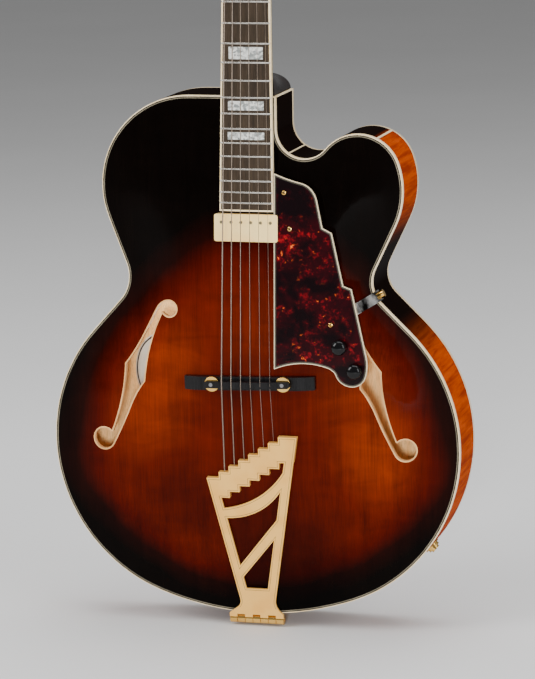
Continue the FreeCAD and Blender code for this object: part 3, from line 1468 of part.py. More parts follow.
def build_tailpiece():
    """Stepped frame, hinge leaf on the tail, and the pin between them."""
    plate = prism([tail_outline()] + tail_windows(), 0, size("tail_plate_thickness"))
    band = prism([tail_band()], 0, size("tail_band_thickness"))
    frame = placed(plate.fuse(band), tail_frame)
    axis = hinge_axis()
    barrel = size("hinge_diameter") / 2
    clear = size("free_clearance")
    reach = Vector(1, 0, 0) * size("hinge_width")
    for piece in knuckles(1):
        box = piece.BoundBox
        slot = block((box.XMin - clear, box.XMax + clear), (-REACH, REACH), (-REACH, axis.z + barrel + clear))
        frame = frame.cut(slot)
    frame = frame.fuse(knuckles(0))
    pin_hole = size("hinge_pin_diameter") / 2
    frame = frame.cut(rod(axis - reach, axis + reach, pin_hole + size("running_clearance")))
    for string in STRINGS:
        before, corner = string_points(string)[0:2]
        along = (corner - before).normalize()
        bore = string_radius(string) + size("free_clearance")
        frame = frame.cut(rod(before - along, before + along * size("tail_band_height"), bore))
    node(shaped("tailpiece_frame", frame))
    circle_z = size("tail_radius")
    half = size("leaf_width") / 2
    arcs = []
    for radius in (size("tail_radius"), size("tail_radius") + size("leaf_thickness")):
        drop = math.sqrt(radius ** 2 - half ** 2)
        ends = [Vector(side * half, 0, circle_z - drop) for side in (-1, 1)]
        arcs.append((ends[0], Vector(0, 0, circle_z - radius), ends[1]))
    (left, inside, right), (far_left, outside, far_right) = arcs
    leaf_wire = Part.Wire([
        Part.Arc(left, inside, right).toShape(),
        line_edge(right, far_right),
        Part.Arc(far_right, outside, far_left).toShape(),
        line_edge(far_left, left),
    ])
    leaf = prism([leaf_wire], axis.y + barrel + clear, size("leaf_length"))
    webs = []
    for piece in knuckles(1):
        box = piece.BoundBox
        webs.append(piece)
        foot = (axis.z, -0.4 * size("leaf_thickness"))
        webs.append(block((box.XMin, box.XMax), (axis.y, axis.y + barrel + 3), foot))
    leaf = leaf.fuse(webs)
    leaf = leaf.cut(prism([outline_wire(0)], -plate_edge, 2 * plate_edge))
    leaf = leaf.cut(rod(axis - reach, axis + reach, pin_hole + size("fit_clearance")))
    leaf = leaf.cut(screw_holes(leaf_screws()))
    hole = size("pin_screw_diameter") / 2 + size("fit_clearance")
    leaf = leaf.cut(rod(Vector(0, 0, -REACH), Vector(0, 0, REACH), hole))
    node(shaped("tailpiece_bracket", leaf))
    start = axis - reach / 2
    node(primitive("Cylinder", "tailpiece_hinge_pin", pointing(start, Vector(1, 0, 0)),
                   Radius="hinge_pin_diameter / 2", Height="hinge_width"))


def leaf_screws():
    """Places of the screws that hold the hinge leaf to the tail, square to its curve."""
    half = size("leaf_width") / 2 - size("screw_head_diameter")
    front = hinge_axis().y + size("hinge_diameter") + 2 * size("screw_head_diameter")
    rear = hinge_axis().y + size("hinge_diameter") / 2 + size("leaf_length") - size("screw_head_diameter")
    centre = Vector(0, 0, size("tail_radius"))
    radius = size("tail_radius") + size("leaf_thickness")
    places = []
    for x in (-half, half):
        out = Vector(x, 0, -math.sqrt(radius ** 2 - x * x)).normalize()
        for y in (front, rear):
            places.append(pointing(centre + out * radius + Vector(0, y, 0), out))
    return places


# Pickguard, controls and pickup
def guard_point(name):
    """A named point of the pickguard's outline in its own frame."""
    return Vector(size(f"guard_{name}_out"), 0, size(f"guard_{name}_rise"))


def guard_wire():
    """Stepped pickguard: straight beside the strings, two steps down its far edge, a lobe for a control."""
    left = size("fingerboard_end_width") / 2 + size("guard_gap")
    top_left = Vector(left, 0, size("guard_top_rise"))
    corner = Vector(left, 0, size("guard_corner_rise"))
    neck_side = guard_point("neck")
    shoulder = guard_point("shoulder")
    lobe_start = guard_point("lobe")
    margin = size("guard_lobe_margin")
    lobe_foot = Vector(size("tone_out") - size("guard_lobe_lean"), 0, size("tone_rise") - margin)
    lobe_end = Vector(lobe_foot.x - margin, 0, size("guard_lobe_end_rise"))
    foot = Vector(lobe_end.x - size("guard_foot_run"), 0, size("guard_foot_rise"))
    bow = Vector((foot.x + left) / 2, 0, size("guard_bow_rise"))
    edges = [Part.Arc(top_left, guard_point("crown"), neck_side).toShape()]
    edges += biarc(neck_side, Vector(15, 0, -4), shoulder, Vector(3.5, 0, -15))
    stairs_down = [shoulder] + [guard_point(f"step_{number}") for number in range(1, 5)] + [lobe_start]
    edges += [line_edge(start, end) for start, end in zip(stairs_down, stairs_down[1:])]
    edges += biarc(lobe_start, lobe_start - stairs_down[-2], lobe_foot, Vector(-1, 0, 0))
    edges += biarc(lobe_foot, Vector(-1, 0, 0), lobe_end, Vector(-0.35, 0, 0.94))
    edges += biarc(lobe_end, Vector(-0.35, 0, 0.94), foot, Vector(-0.9, 0, 0.43))
    edges.append(Part.Arc(foot, bow, corner).toShape())
    edges.append(line_edge(corner, top_left))
    return Part.Wire(edges)


def guard_screws():
    """Screws in the pickguard's face: x and height above the bridge line."""
    spots = [guard_point(f"screw_{number}") for number in range(1, 4)]
    return [(spot.x, spot.z) for spot in spots]


def pickup_span():
    """The pickup's lower and upper edge, in the pickguard's frame."""
    upper = board_end_z - bridge_z - size("pickup_gap")
    return upper - size("pickup_length"), upper


def build_guard():
    """Pickguard with its bound edge, its supports and the two controls under it."""
    thick = size("guard_thickness")
    outline = guard_wire()
    core_wire = outline.makeOffset2D(-size("guard_binding_width"))
    core = prism([core_wire], 0, thick)
    border = prism([outline, core_wire], 0, thick)
    low, high = pickup_span()
    clear = size("free_clearance")
    notch = block((0, size("pickup_width") / 2 + clear), (-REACH, REACH), (low - clear, high + clear))
    core = core.cut(notch)
    border = border.cut(notch)
    holes = []
    for x, z in guard_screws():
        screw_hole = size("screw_diameter") / 2 + size("fit_clearance")
        holes.append(rod(Vector(x, -20, z), Vector(x, 20, z), screw_hole))
    pots = []
    for name in ("volume", "tone"):
        x = size(name + "_out")
        z = size(name + "_rise")
        hole = size("pot_bushing_diameter") / 2 + size("fit_clearance")
        holes.append(rod(Vector(x, -20, z), Vector(x, 20, z), hole))
        seat = guard_frame.multiply(Placement(Vector(x, 0, z), Rotation(Vector(0, 0, 1), Vector(0, -1, 0))))
        pots.append(turned("pot_" + name, [
            ("spindle_diameter / 2 + running_clearance", "-guard_thickness - pot_depth"),
            ("pot_diameter / 2", "-guard_thickness - pot_depth"),
            ("pot_diameter / 2", "-guard_thickness"),
            ("pot_bushing_diameter / 2", "-guard_thickness"),
            ("pot_bushing_diameter / 2", "knob_lift / 2"),
            ("spindle_diameter / 2 + running_clearance", "knob_lift / 2"),
        ], seat))
        node(turned("knob_" + name, [
            ("0", "-guard_thickness - pot_depth / 2"),
            ("spindle_diameter / 2", "-guard_thickness - pot_depth / 2"),
            ("spindle_diameter / 2", "knob_lift"),
            ("knob_diameter / 2", "knob_lift"),
            ("knob_diameter / 2", "knob_lift + knob_height - knob_crown"),
            ("knob_diameter * 0.46", "knob_lift + knob_height - knob_crown * 0.56"),
            ("knob_diameter * 0.36", "knob_lift + knob_height - knob_crown * 0.22"),
            ("knob_diameter * 0.2", "knob_lift + knob_height - knob_crown * 0.04"),
            ("0", "knob_lift + knob_height"),
        ], seat))
    core = core.cut(Part.makeCompound(holes))
    node(shaped("pickguard", placed(core, guard_frame)))
    node(shaped("pickguard_binding", placed(border, guard_frame)))
    node(grouped("potentiometers", pots))
    node(shaped("pickguard_bracket", Part.makeCompound([rim_bracket(), pickup_arm()])))


def waist_seat():
    """Where the guard's bracket meets the rim near the waist, and the way out of the rim there."""
    height = bridge_z + size("bracket_rim_height")
    level = line_edge(Vector(0, 0, height), Vector(REACH, 0, height))
    edge = min(outline_wire(0).Edges, key=lambda piece: piece.distToShape(level)[0])
    spot = edge.distToShape(level)[1][0][0]
    along = edge.tangentAt(edge.Curve.parameter(spot))
    outward = Vector(along.z, 0, -along.x)
    return spot, outward if outward.x > 0 else outward * -1


def rim_bracket():
    """A bent flat bar from under the guard, past the edge of the top, down onto the rim."""
    spot, outward = waist_seat()
    thick = size("bracket_thickness")
    x, z = guard_screws()[2]
    inside = guard_frame.multVec(Vector(x, size("guard_thickness"), z))
    start = (Vector(inside.x, 0, inside.z) - spot).dot(outward) - size("bracket_width") / 2
    guard_y = inside.y
    slope = math.tan(math.radians(string_tilt)) * outward.z
    gap = size("free_clearance")
    bend = -size("bracket_bend")
    profile = [
        (start, guard_y - gap),
        (bend, guard_y + slope * (bend - start) - gap),
        (thick, -half_depth - thick),
        (thick, -half_depth + size("bracket_leg")),
        (-thick, -half_depth + size("bracket_leg")),
        (-thick, -half_depth),
        (bend - thick / 2, guard_y + slope * (bend - start) + thick),
        (start, guard_y + thick),
    ]
    across = Vector(-outward.z, 0, outward.x)
    corners = []
    for along, y in profile:
        point = spot + outward * along - across * size("bracket_width") / 2
        corners.append(Vector(point.x, y, point.z))
    bar = Part.Face(Part.makePolygon(corners + corners[:1])).extrude(across * size("bracket_width"))
    bar = bar.cut(prism([outline_wire(0)], -half_depth, 2 * half_depth))
    above = block((-REACH, REACH), (-REACH, size("guard_thickness")), (-REACH, REACH))
    bar = bar.cut(placed(above, guard_frame))
    hole = size("screw_diameter") / 2 + size("fit_clearance")
    bar = bar.cut(rod(Vector(inside.x, -REACH, inside.z), Vector(inside.x, REACH, inside.z), hole + 0.4))
    head = spot + Vector(0, nut_level(), 0)
    return bar.cut(rod(head - outward * 10, head + outward * 20, hole))


def nut_level():
    """Depth of the bracket's thumb nut on the rim."""
    return -half_depth + size("bracket_leg") - size("thumb_nut_diameter") / 2 - 1.0


def pickup_arm():
    """The flat arm under the guard that holds the pickup by its side."""
    low = pickup_span()[0]
    under = size("guard_thickness")
    side = size("pickup_width") / 2
    end = max(x for x, z in guard_screws()[:2]) + size("screw_head_diameter")
    top = guard_screws()[0][1] + size("screw_head_diameter")
    arm = block((side, end), (under, under + size("bracket_thickness")), (low + 2, top))
    for x, z in guard_screws()[:2]:
        screw_hole = size("screw_diameter") / 2 + size("fit_clearance")
        arm = arm.cut(rod(Vector(x, -20, z), Vector(x, 20, z), screw_hole))
    return placed(arm, guard_frame)


def build_pickup():
    """Floating pickup: a drawn cover, the coil block inside it and its row of poles."""
    low = pickup_span()[0]
    top = size("pickup_string_gap") - size("guard_drop")
    corner = guard_frame.multiply(moved(-size("pickup_width") / 2, top, low))
    outside = primitive("Box", "pickup_blank", corner, Length="pickup_width", Width="pickup_depth",
                        Height="pickup_length")
    doc.recompute()
    rounded = doc.addObject("Part::Fillet", "pickup_rounded")
    rounded.Base = outside
    upright = [index for index, edge in enumerate(outside.Shape.Edges, start=1)
               if abs(edge.Length - size("pickup_depth")) < 1e-6]
    rounded.Edges = [(index, size("pickup_corner"), size("pickup_corner")) for index in upright]
    wall = size("pickup_wall")
    inner_corner = corner.multiply(moved(wall, wall, wall))
    hollow = primitive("Box", "pickup_hollow", inner_corner, Length="pickup_width - 2 * pickup_wall",
                       Width="pickup_depth", Height="pickup_length - 2 * pickup_wall")
    poles = []
    for number in STRINGS:
        poles.append(primitive("Cylinder", f"pole_hole_{number}", pole_place(number, -5.0),
                               Radius="pole_diameter / 2 + fit_clearance", Height="pickup_depth + 5"))
    drills = grouped("pickup_holes", [hollow] + poles)
    node(cut("pickup_cover", rounded, drills))
    gap = size("free_clearance")
    coil_corner = corner.multiply(moved(wall + gap, wall + gap, wall + gap))
    block_item = primitive("Box", "coil_blank", coil_corner,
                           Length="pickup_width - 2 * pickup_wall - 2 * free_clearance",
                           Width="pickup_depth - pickup_wall - free_clearance",
                           Height="pickup_length - 2 * pickup_wall - 2 * free_clearance")
    coil_holes = []
    for number in STRINGS:
        coil_holes.append(primitive("Cylinder", f"coil_hole_{number}", pole_place(number, -5.0),
                                    Radius="pole_diameter / 2 + fit_clearance",
                                    Height="pickup_depth / 2 + 5"))
    node(cut("pickup_coils", block_item, grouped("coil_holes", coil_holes)))


def pole_place(number, lift):
    """Where a pole screw goes into the pickup, pointing at the body, from a lift off its face."""
    high = pickup_span()[1]
    top = size("pickup_string_gap") - size("guard_drop")
    x = (3.5 - number) * size("pole_spacing")
    spot = Vector(x, top + lift, high - size("pole_inset"))
    return guard_frame.multiply(Placement(spot, Rotation(Vector(0, 0, 1), Vector(0, 1, 0))))


# Jack, pins, screws and leads
def jack_out():
    """The way out of the rim at the jack."""
    angle = math.radians(size("jack_angle"))
    return Vector(math.cos(angle), 0, math.sin(angle))


def jack_seat():
    """The jack's place on the treble lower bout, halfway through the rim."""
    x, z, radius = lower_bout_circle()
    return Vector(x, 0, z) + jack_out() * radius


def strap_pin_section(seat):
    """A strap pin: screw shank, waisted neck and domed head, from its seat outwards."""
    return [
        ("0", "-pin_screw_length + leaf_thickness"),
        ("pin_screw_diameter / 2", "-pin_screw_length + leaf_thickness"),
        ("pin_screw_diameter / 2", seat),
        ("pin_neck_diameter / 2", seat),
        ("pin_neck_diameter / 2", f"{seat} + pin_length * 0.65"),
        ("pin_head_diameter / 2", f"{seat} + pin_length * 0.72"),
        ("pin_head_diameter / 2", f"{seat} + pin_length * 0.9"),
        ("pin_head_diameter * 0.3", f"{seat} + pin_length"),
        ("0", f"{seat} + pin_length"),
    ]


def build_fittings():
    """End pin, output jack, gold screws and the leads of the controls."""
    node(turned("end_pin", strap_pin_section("leaf_thickness"), pointing(Vector(0, 0, 0), Vector(0, 0, -1))))
    barrel = "jack_barrel_diameter / 2"
    washer = "jack_washer_diameter / 2"
    node(turned("output_jack", [
        ("jack_bore / 2", "-jack_depth"),
        ("jack_barrel_diameter * 0.75", "-jack_depth"),
        ("jack_barrel_diameter * 0.75", "-jack_depth * 0.35"),
        (barrel, "-jack_depth * 0.35"),
        (barrel, "0"),
        (washer, "0"),
        (washer, "1.2"),
        ("jack_washer_diameter * 0.38", "1.2"),
        ("jack_washer_diameter * 0.38", "4.0"),
        (barrel, "4.0"),
        (barrel, "6.0"),
        ("jack_bore / 2", "6.0"),
    ], pointing(jack_seat(), jack_out())))
    node(shaped("gold_screws", Part.makeCompound(screw_set())))
    doc.recompute()
    ends = [doc.getObject(name).Shape for name in ("pickup_cover", "potentiometers", "output_jack")]
    trimmed = [max(lead.cut(ends).Solids, key=lambda solid: solid.Volume) for lead in leads()]
    node(shaped("wiring", Part.makeCompound(trimmed)))


def screw_set():
    """Every small gold screw, as copies of one turned screw, with the six poles and the thumb nut."""
    screw = turned("screw", [
        ("0", "-screw_length"),
        ("screw_diameter / 2", "-screw_length"),
        ("screw_diameter / 2", "0"),
        ("screw_head_diameter / 2", "0"),
        ("screw_head_diameter / 2", "screw_head_height * 0.5"),
        ("screw_head_diameter * 0.3", "screw_head_height"),
        ("0", "screw_head_height"),
    ], Placement())
    pole = turned("pole", [
        ("0", "-pickup_depth / 2"),
        ("pole_diameter / 2", "-pickup_depth / 2"),
        ("pole_diameter / 2", "0.3"),
        ("0", "0.3"),
    ], Placement())
    thumb_nut = turned("thumb_nut", [
        ("0", "-rim_thickness"),
        ("screw_diameter / 2", "-rim_thickness"),
        ("screw_diameter / 2", "bracket_thickness + 2 * fit_clearance"),
        ("thumb_nut_diameter / 2", "bracket_thickness + 2 * fit_clearance"),
        ("thumb_nut_diameter / 2", "bracket_thickness + thumb_nut_length"),
        ("0", "bracket_thickness + thumb_nut_length"),
    ], Placement())
    doc.recompute()
    outward = Rotation(Vector(0, 0, 1), Vector(0, -1, 0))
    places = [guard_frame.multiply(Placement(Vector(x, 0, z), outward)) for x, z in guard_screws()]
    copies = [placed_copy(screw, place) for place in places + cover_screws() + leaf_screws()]
    for number in STRINGS:
        base = pole_place(number, 0).Base
        copies.append(placed_copy(pole, Placement(base, guard_frame.Rotation.multiply(outward))))
    spot, direction = waist_seat()
    copies.append(placed_copy(thumb_nut, pointing(spot + Vector(0, nut_level(), 0), direction)))
    return copies


def placed_copy(item, place):
    """A copy of a turned piece's solid at a place."""
    copy = item.Shape.copy()
    copy.Placement = place
    return copy


def leads():
    """The pickup's lead under the guard, and the lead through the sound hole to the jack."""
    radius = size("lead_diameter") / 2
    under = size("guard_thickness")
    low = pickup_span()[0]
    volume = Vector(size("volume_out"), 0, size("volume_rise"))
    pot_foot = under + size("pot_depth")
    side = size("pickup_width") / 2
    route = [Vector(side, under + 4.5, low + 6), Vector(side + 12, under + 4.5, low + 2),
             Vector(volume.x - 22, under + 4.5, volume.z + 36),
             Vector(volume.x - size("pot_diameter") / 2, under + 4.5, volume.z)]
    route = [guard_frame.multVec(point) for point in route]
    pickup_lead = tube(rounded_path(route, 5.0), route[0], route[1] - route[0], radius)
    tone = guard_frame.multVec(Vector(size("tone_out"), pot_foot, size("tone_rise")))
    jack = jack_seat() - jack_out() * size("jack_depth")
    notch_x = (size("outer_notch_out") + size("inner_notch_out")) / 2
    mouth_y = arch_height(notch_x, bridge_z) + size("plate_thickness") / 2
    route = [
        tone,
        tone + Vector(1, 5, 12),
        Vector(notch_x - 12.7, mouth_y, bridge_z + 36),
        Vector(notch_x - 5.7, mouth_y + 16, bridge_z + 35),
        Vector(notch_x + 46, mouth_y + 34, bridge_z - 28),
        Vector(notch_x + 56, 0, bridge_z - 92),
        jack - jack_out() * 20,
        jack,
    ]
    jack_lead = tube(rounded_path(route, 4.0), route[0], route[1] - route[0], radius)
    return [pickup_lead, jack_lead]


build_plates()
build_box()
build_neck()
build_fingerboard()
build_head_trim()
build_tuners()
build_strings()
build_bridge()
build_tailpiece()
build_guard()
build_pickup()
build_fittings()
doc.recompute()

for item in doc.Objects:
    if any(state in item.State for state in ("Invalid", "Error")):
        raise RuntimeError(f"{item.Label} failed: {item.State}")
for item in nodes:
    if item.Shape.isNull() or not item.Shape.isValid() or not item.Shape.Solids:
        raise RuntimeError(f"{item.Label} has no valid solid")

os.makedirs("parts", exist_ok=True)
for item in nodes:
    item.Shape.exportStep(f"parts/{item.Label}.step")
print(f"{len(nodes)} sub-parts written")
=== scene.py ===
"""Looks of the archtop guitar: finishes, strings, bound edges and fittings, in a studio."""

from __future__ import annotations

import logging
import math
from dataclasses import dataclass
from enum import Enum
from functools import lru_cache
from typing import Any, Callable, Iterable, Sequence, Union

import bmesh
import bpy
from mathutils import Matrix, Vector
from mathutils.bvhtree import BVHTree


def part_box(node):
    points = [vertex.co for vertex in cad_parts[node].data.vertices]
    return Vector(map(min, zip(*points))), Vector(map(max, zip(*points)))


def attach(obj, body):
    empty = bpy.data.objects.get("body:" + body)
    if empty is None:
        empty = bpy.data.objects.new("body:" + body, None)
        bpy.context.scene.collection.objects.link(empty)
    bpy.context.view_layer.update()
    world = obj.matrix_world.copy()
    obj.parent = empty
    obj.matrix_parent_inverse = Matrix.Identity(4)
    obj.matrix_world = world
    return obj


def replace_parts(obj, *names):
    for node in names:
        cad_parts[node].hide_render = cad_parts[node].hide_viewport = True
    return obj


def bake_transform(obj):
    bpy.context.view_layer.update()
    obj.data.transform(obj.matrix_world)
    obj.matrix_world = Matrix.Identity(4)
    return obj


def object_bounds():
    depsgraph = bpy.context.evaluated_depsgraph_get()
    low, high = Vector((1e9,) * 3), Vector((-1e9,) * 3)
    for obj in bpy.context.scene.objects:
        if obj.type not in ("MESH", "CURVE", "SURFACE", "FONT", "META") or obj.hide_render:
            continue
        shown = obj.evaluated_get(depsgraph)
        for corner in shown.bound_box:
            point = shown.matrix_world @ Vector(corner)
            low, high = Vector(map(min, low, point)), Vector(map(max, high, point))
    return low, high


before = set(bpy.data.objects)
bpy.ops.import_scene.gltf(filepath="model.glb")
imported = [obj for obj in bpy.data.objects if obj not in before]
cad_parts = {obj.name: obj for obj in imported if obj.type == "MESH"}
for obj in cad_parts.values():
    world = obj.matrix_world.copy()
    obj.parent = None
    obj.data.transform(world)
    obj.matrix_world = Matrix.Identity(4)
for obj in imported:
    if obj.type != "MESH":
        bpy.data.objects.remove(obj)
CAD_BOX = [list(corner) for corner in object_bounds()]

LOG = logging.getLogger("archtop_guitar")
MM = 0.001
MM_PER_METRE = 1000.0
IMAGE_HEIGHT = 679
STRING_COUNT = 6
CREASE_DEGREES = 32.0
FLAT_DEGREES = 0.6
SAME_POINT = 2e-6
SAME_POLE = 1e-7

Colour = tuple[float, float, float, float]
Seat = tuple[Vector, Vector, Vector]


class Body(str, Enum):
    """The moving bodies that pieces ride on."""

    GUITAR = "guitar"
    SADDLE = "saddle"
    TAILPIECE = "tailpiece"
    VOLUME = "volume_knob"
    TONE = "tone_knob"
    WHEEL_BASS = "wheel_bass"
    WHEEL_TREBLE = "wheel_treble"


def tone(red: int, green: int, blue: int) -> Colour:
    """A display colour of 0 to 255 as a linear colour.

    Args:
        red: Red as a display shows it.
        green: Green as a display shows it.
        blue: Blue as a display shows it.

    Returns:
        The linear colour with full alpha.
    """
    parts = []
    for part in (red, green, blue):
        share = part / 255
        parts.append(share / 12.92 if share <= 0.04045 else ((share + 0.055) / 1.055) ** 2.4)
    return (parts[0], parts[1], parts[2], 1.0)


# Node graphs
class Wire:
    """An output socket that takes part in arithmetic: every operation adds a Math node."""

    def __init__(self, graph: "Graph", socket: bpy.types.NodeSocket) -> None:
        """Keeps the socket with the graph that it belongs to."""
        self.graph = graph
        self.socket = socket

    def math(self, operation: str, *operands: "Number") -> "Wire":
        """One Math node.

        Args:
            operation: The node's operation.
            operands: What goes into its sockets, in order.

        Returns:
            The node's result.
        """
        made = self.graph.node("ShaderNodeMath", {"operation": operation}, dict(enumerate(operands)))
        return Wire(self.graph, made.outputs[0])

    def __add__(self, other: "Number") -> "Wire":
        """The sum."""
        return self.math("ADD", self, other)

    def __radd__(self, other: "Number") -> "Wire":
        """The sum, with the wire second."""
        return self.math("ADD", other, self)

    def __sub__(self, other: "Number") -> "Wire":
        """The difference."""
        return self.math("SUBTRACT", self, other)

    def __rsub__(self, other: "Number") -> "Wire":
        """The difference, with the wire second."""
        return self.math("SUBTRACT", other, self)

    def __mul__(self, other: "Number") -> "Wire":
        """The product."""
        return self.math("MULTIPLY", self, other)

    def __rmul__(self, other: "Number") -> "Wire":
        """The product, with the wire second."""
        return self.math("MULTIPLY", other, self)

    def __truediv__(self, other: "Number") -> "Wire":
        """The quotient."""
        return self.math("DIVIDE", self, other)

    def __rtruediv__(self, other: "Number") -> "Wire":
        """The quotient, with the wire second."""
        return self.math("DIVIDE", other, self)

    def __pow__(self, other: "Number") -> "Wire":
        """The power."""
        return self.math("POWER", self, other)

    def __abs__(self) -> "Wire":
        """The distance from nought."""
        return self.math("ABSOLUTE", self)

    def at_least(self, other: "Number") -> "Wire":
        """The larger of the two."""
        return self.math("MAXIMUM", self, other)

    def sine(self) -> "Wire":
        """The sine."""
        return self.math("SINE", self)

    def ease(self, low: float, high: float) -> "Wire":
        """A soft step.

        Args:
            low: Where the step starts from 0.
            high: Where it reaches 1.

        Returns:
            The eased share.
        """
        made = self.graph.node(
            "ShaderNodeMapRange",
            {"interpolation_type": "SMOOTHSTEP"},
            {"Value": self, "From Min": low, "From Max": high, "To Min": 0.0, "To Max": 1.0},
        )
        return Wire(self.graph, made.outputs["Result"])


Number = Union[Wire, float, int]


class Graph:
    """A node tree under construction."""

    def __init__(self, tree: bpy.types.NodeTree) -> None:
        """Keeps the tree."""
        self.tree = tree

    def node(
        self, kind: str, settings: dict[str, Any] | None = None, inputs: dict[Any, Any] | None = None
    ) -> bpy.types.Node:
        """Adds any node.

        Args:
            kind: The node's type.
            settings: Its settings, set first; "stops" fills a ramp.
            inputs: The values or links of its sockets, by name or number.

        Returns:
            The node.
        """
        made = self.tree.nodes.new(kind)
        for name, value in (settings or {}).items():
            if name == "stops":
                self.fill_ramp(made.color_ramp, value)
            else:
                setattr(made, name, value)
        for key, value in (inputs or {}).items():
            socket = made.inputs[key]
            if isinstance(value, Wire):
                self.tree.links.new(value.socket, socket)
            elif isinstance(value, bpy.types.NodeSocket):
                self.tree.links.new(value, socket)
            else:
                socket.default_value = value
        return made

    @staticmethod
    def fill_ramp(ramp: bpy.types.ColorRamp, stops: Sequence[tuple[float, Colour]]) -> None:
        """Sets a ramp's stops.

        Args:
            ramp: The ramp.
            stops: Place and colour of each stop, in order.
        """
        while len(ramp.elements) < len(stops):
            ramp.elements.new(1.0)
        for element, (place, colour) in zip(ramp.elements, stops):
            element.position = place
            element.color = colour


class Shade(Graph):
    """The node tree of one finish."""

    def __init__(self, material: bpy.types.Material) -> None:
        """Empties the material's tree and reads the piece's own coordinates."""
        material.use_nodes = True
        material.node_tree.nodes.clear()
        super().__init__(material.node_tree)
        coordinates = self.node("ShaderNodeTexCoord")
        scaled = self.node(
            "ShaderNodeVectorMath",
            {"operation": "SCALE"},
            {0: coordinates.outputs["Object"], "Scale": MM_PER_METRE},
        )
        self.place = scaled.outputs[0]

    def axes(self) -> tuple[Wire, Wire, Wire]:
        """The place on the piece in millimetres: across, towards the back and up."""
        split = self.node("ShaderNodeSeparateXYZ", inputs={0: self.place})
        return Wire(self, split.outputs[0]), Wire(self, split.outputs[1]), Wire(self, split.outputs[2])

    def noise(
        self,
        stretch: tuple[float, float, float],
        detail: float = 2.0,
        rough: float = 0.5,
        twist: float = 0.0,
        place: bpy.types.NodeSocket | None = None,
    ) -> Wire:
        """Cloudy variation over the piece.

        Args:
            stretch: Clouds per millimetre along each axis.
            detail: Finer layers.
            rough: How strong the finer layers are.
            twist: How far the clouds are drawn about.
            place: Where the clouds are read, if not at the place on the piece.

        Returns:
            A share about one half.
        """
        mapped = self.node("ShaderNodeMapping", inputs={"Vector": place or self.place, "Scale": stretch})
        made = self.node(
            "ShaderNodeTexNoise",
            inputs={
                "Vector": mapped.outputs[0],
                "Scale": 1.0,
                "Detail": detail,
                "Roughness": rough,
                "Distortion": twist,
            },
        )
        return Wire(self, made.outputs[0])

    def flecks(self, stretch: tuple[float, float, float]) -> tuple[Wire, Wire]:
        """Cells over the piece.

        Args:
            stretch: Cells per millimetre along each axis.

        Returns:
            The distance from a cell's middle, and a fixed number for each cell.
        """
        mapped = self.node("ShaderNodeMapping", inputs={"Vector": self.place, "Scale": stretch})
        made = self.node("ShaderNodeTexVoronoi", inputs={"Vector": mapped.outputs[0], "Scale": 1.0})
        split = self.node("ShaderNodeSeparateColor", inputs={0: made.outputs["Color"]})
        return Wire(self, made.outputs["Distance"]), Wire(self, split.outputs[0])

    def attribute(self, name: str) -> Wire:
        """A number that the piece's own mesh carries."""
        return Wire(self, self.node("ShaderNodeAttribute", {"attribute_name": name}).outputs["Fac"])

    def ramp(self, share: Number, stops: Sequence[tuple[float, Colour]]) -> bpy.types.NodeSocket:
        """A colour along a ramp.

        Args:
            share: The place on the ramp.
            stops: Place and colour of each stop.

        Returns:
            The colour.
        """
        return self.node("ShaderNodeValToRGB", {"stops": stops}, {0: share}).outputs[0]

    def blend(self, share: Number, first: Any, second: Any) -> bpy.types.NodeSocket:
        """Two colours mixed.

        Args:
            share: How much of the second.
            first: A colour or a colour's socket.
            second: A colour or a colour's socket.

        Returns:
            The mixed colour.
        """
        made = self.node(
            "ShaderNodeMix", {"data_type": "RGBA", "clamp_factor": True}, {0: share, 6: first, 7: second}
        )
        return made.outputs[2]

    def dim(self, colour: bpy.types.NodeSocket, share: Number) -> bpy.types.NodeSocket:
        """A colour made lighter or darker by a share."""
        made = self.node("ShaderNodeVectorMath", {"operation": "SCALE"}, {0: colour, "Scale": share})
        return made.outputs[0]

    def surface(self, relief: Number | None = None, depth: float = 0.02, **sockets: Any) -> None:
        """Ends the tree in a surface.

        Args:
            relief: Height of the fine relief, if it has any.
            depth: How deep the relief is, in millimetres.
            sockets: Values or links of the shader's sockets, with spaces as underscores.
        """
        inputs = {name.replace("_", " "): value for name, value in sockets.items()}
        if relief is not None:
            bump = self.node(
                "ShaderNodeBump", inputs={"Height": relief, "Distance": depth * MM, "Strength": 1.0}
            )
            inputs["Normal"] = bump.outputs[0]
        shader = self.node("ShaderNodeBsdfPrincipled", inputs=inputs)
        self.node("ShaderNodeOutputMaterial", inputs={"Surface": shader.outputs[0]})


# Finishes
@dataclass(frozen=True)
class Finish:
    """A surface finish under a maker's name, for a material slot of the record."""

    name: str
    slot: str

    def paint(self, shade: Shade) -> None:
        """Fills the finish's node tree."""
        raise NotImplementedError

    @lru_cache(maxsize=None)
    def material(self) -> bpy.types.Material:
        """The finish as a material, made once."""
        made = bpy.data.materials.new(self.name)
        self.paint(Shade(made))
        return made


def burst_share(shade: Shade) -> Wire:
    """How far a place lies out from the light middle of the burst: 1 where the colour starts to fall.

    Args:
        shade: The finish that is being painted.

    Returns:
        The share outwards.
    """
    across, _, up = shade.axes()
    bend = 1.68
    middle_across, middle_up = 6.0, 167.0
    reach_across, reach_up, reach_down = 180.0, 220.6, 129.4
    unevenness = 0.12
    sideways = (abs(across - middle_across) / reach_across) ** bend
    above = (up - middle_up).at_least(0.0) / reach_up
    below = (middle_up - up).at_least(0.0) / reach_down
    upright = (above + below) ** bend
    clouds = shade.noise((0.018, 0.018, 0.009), 2.0)
    return (sideways + upright) ** (1 / bend) + (clouds - 0.5) * unevenness


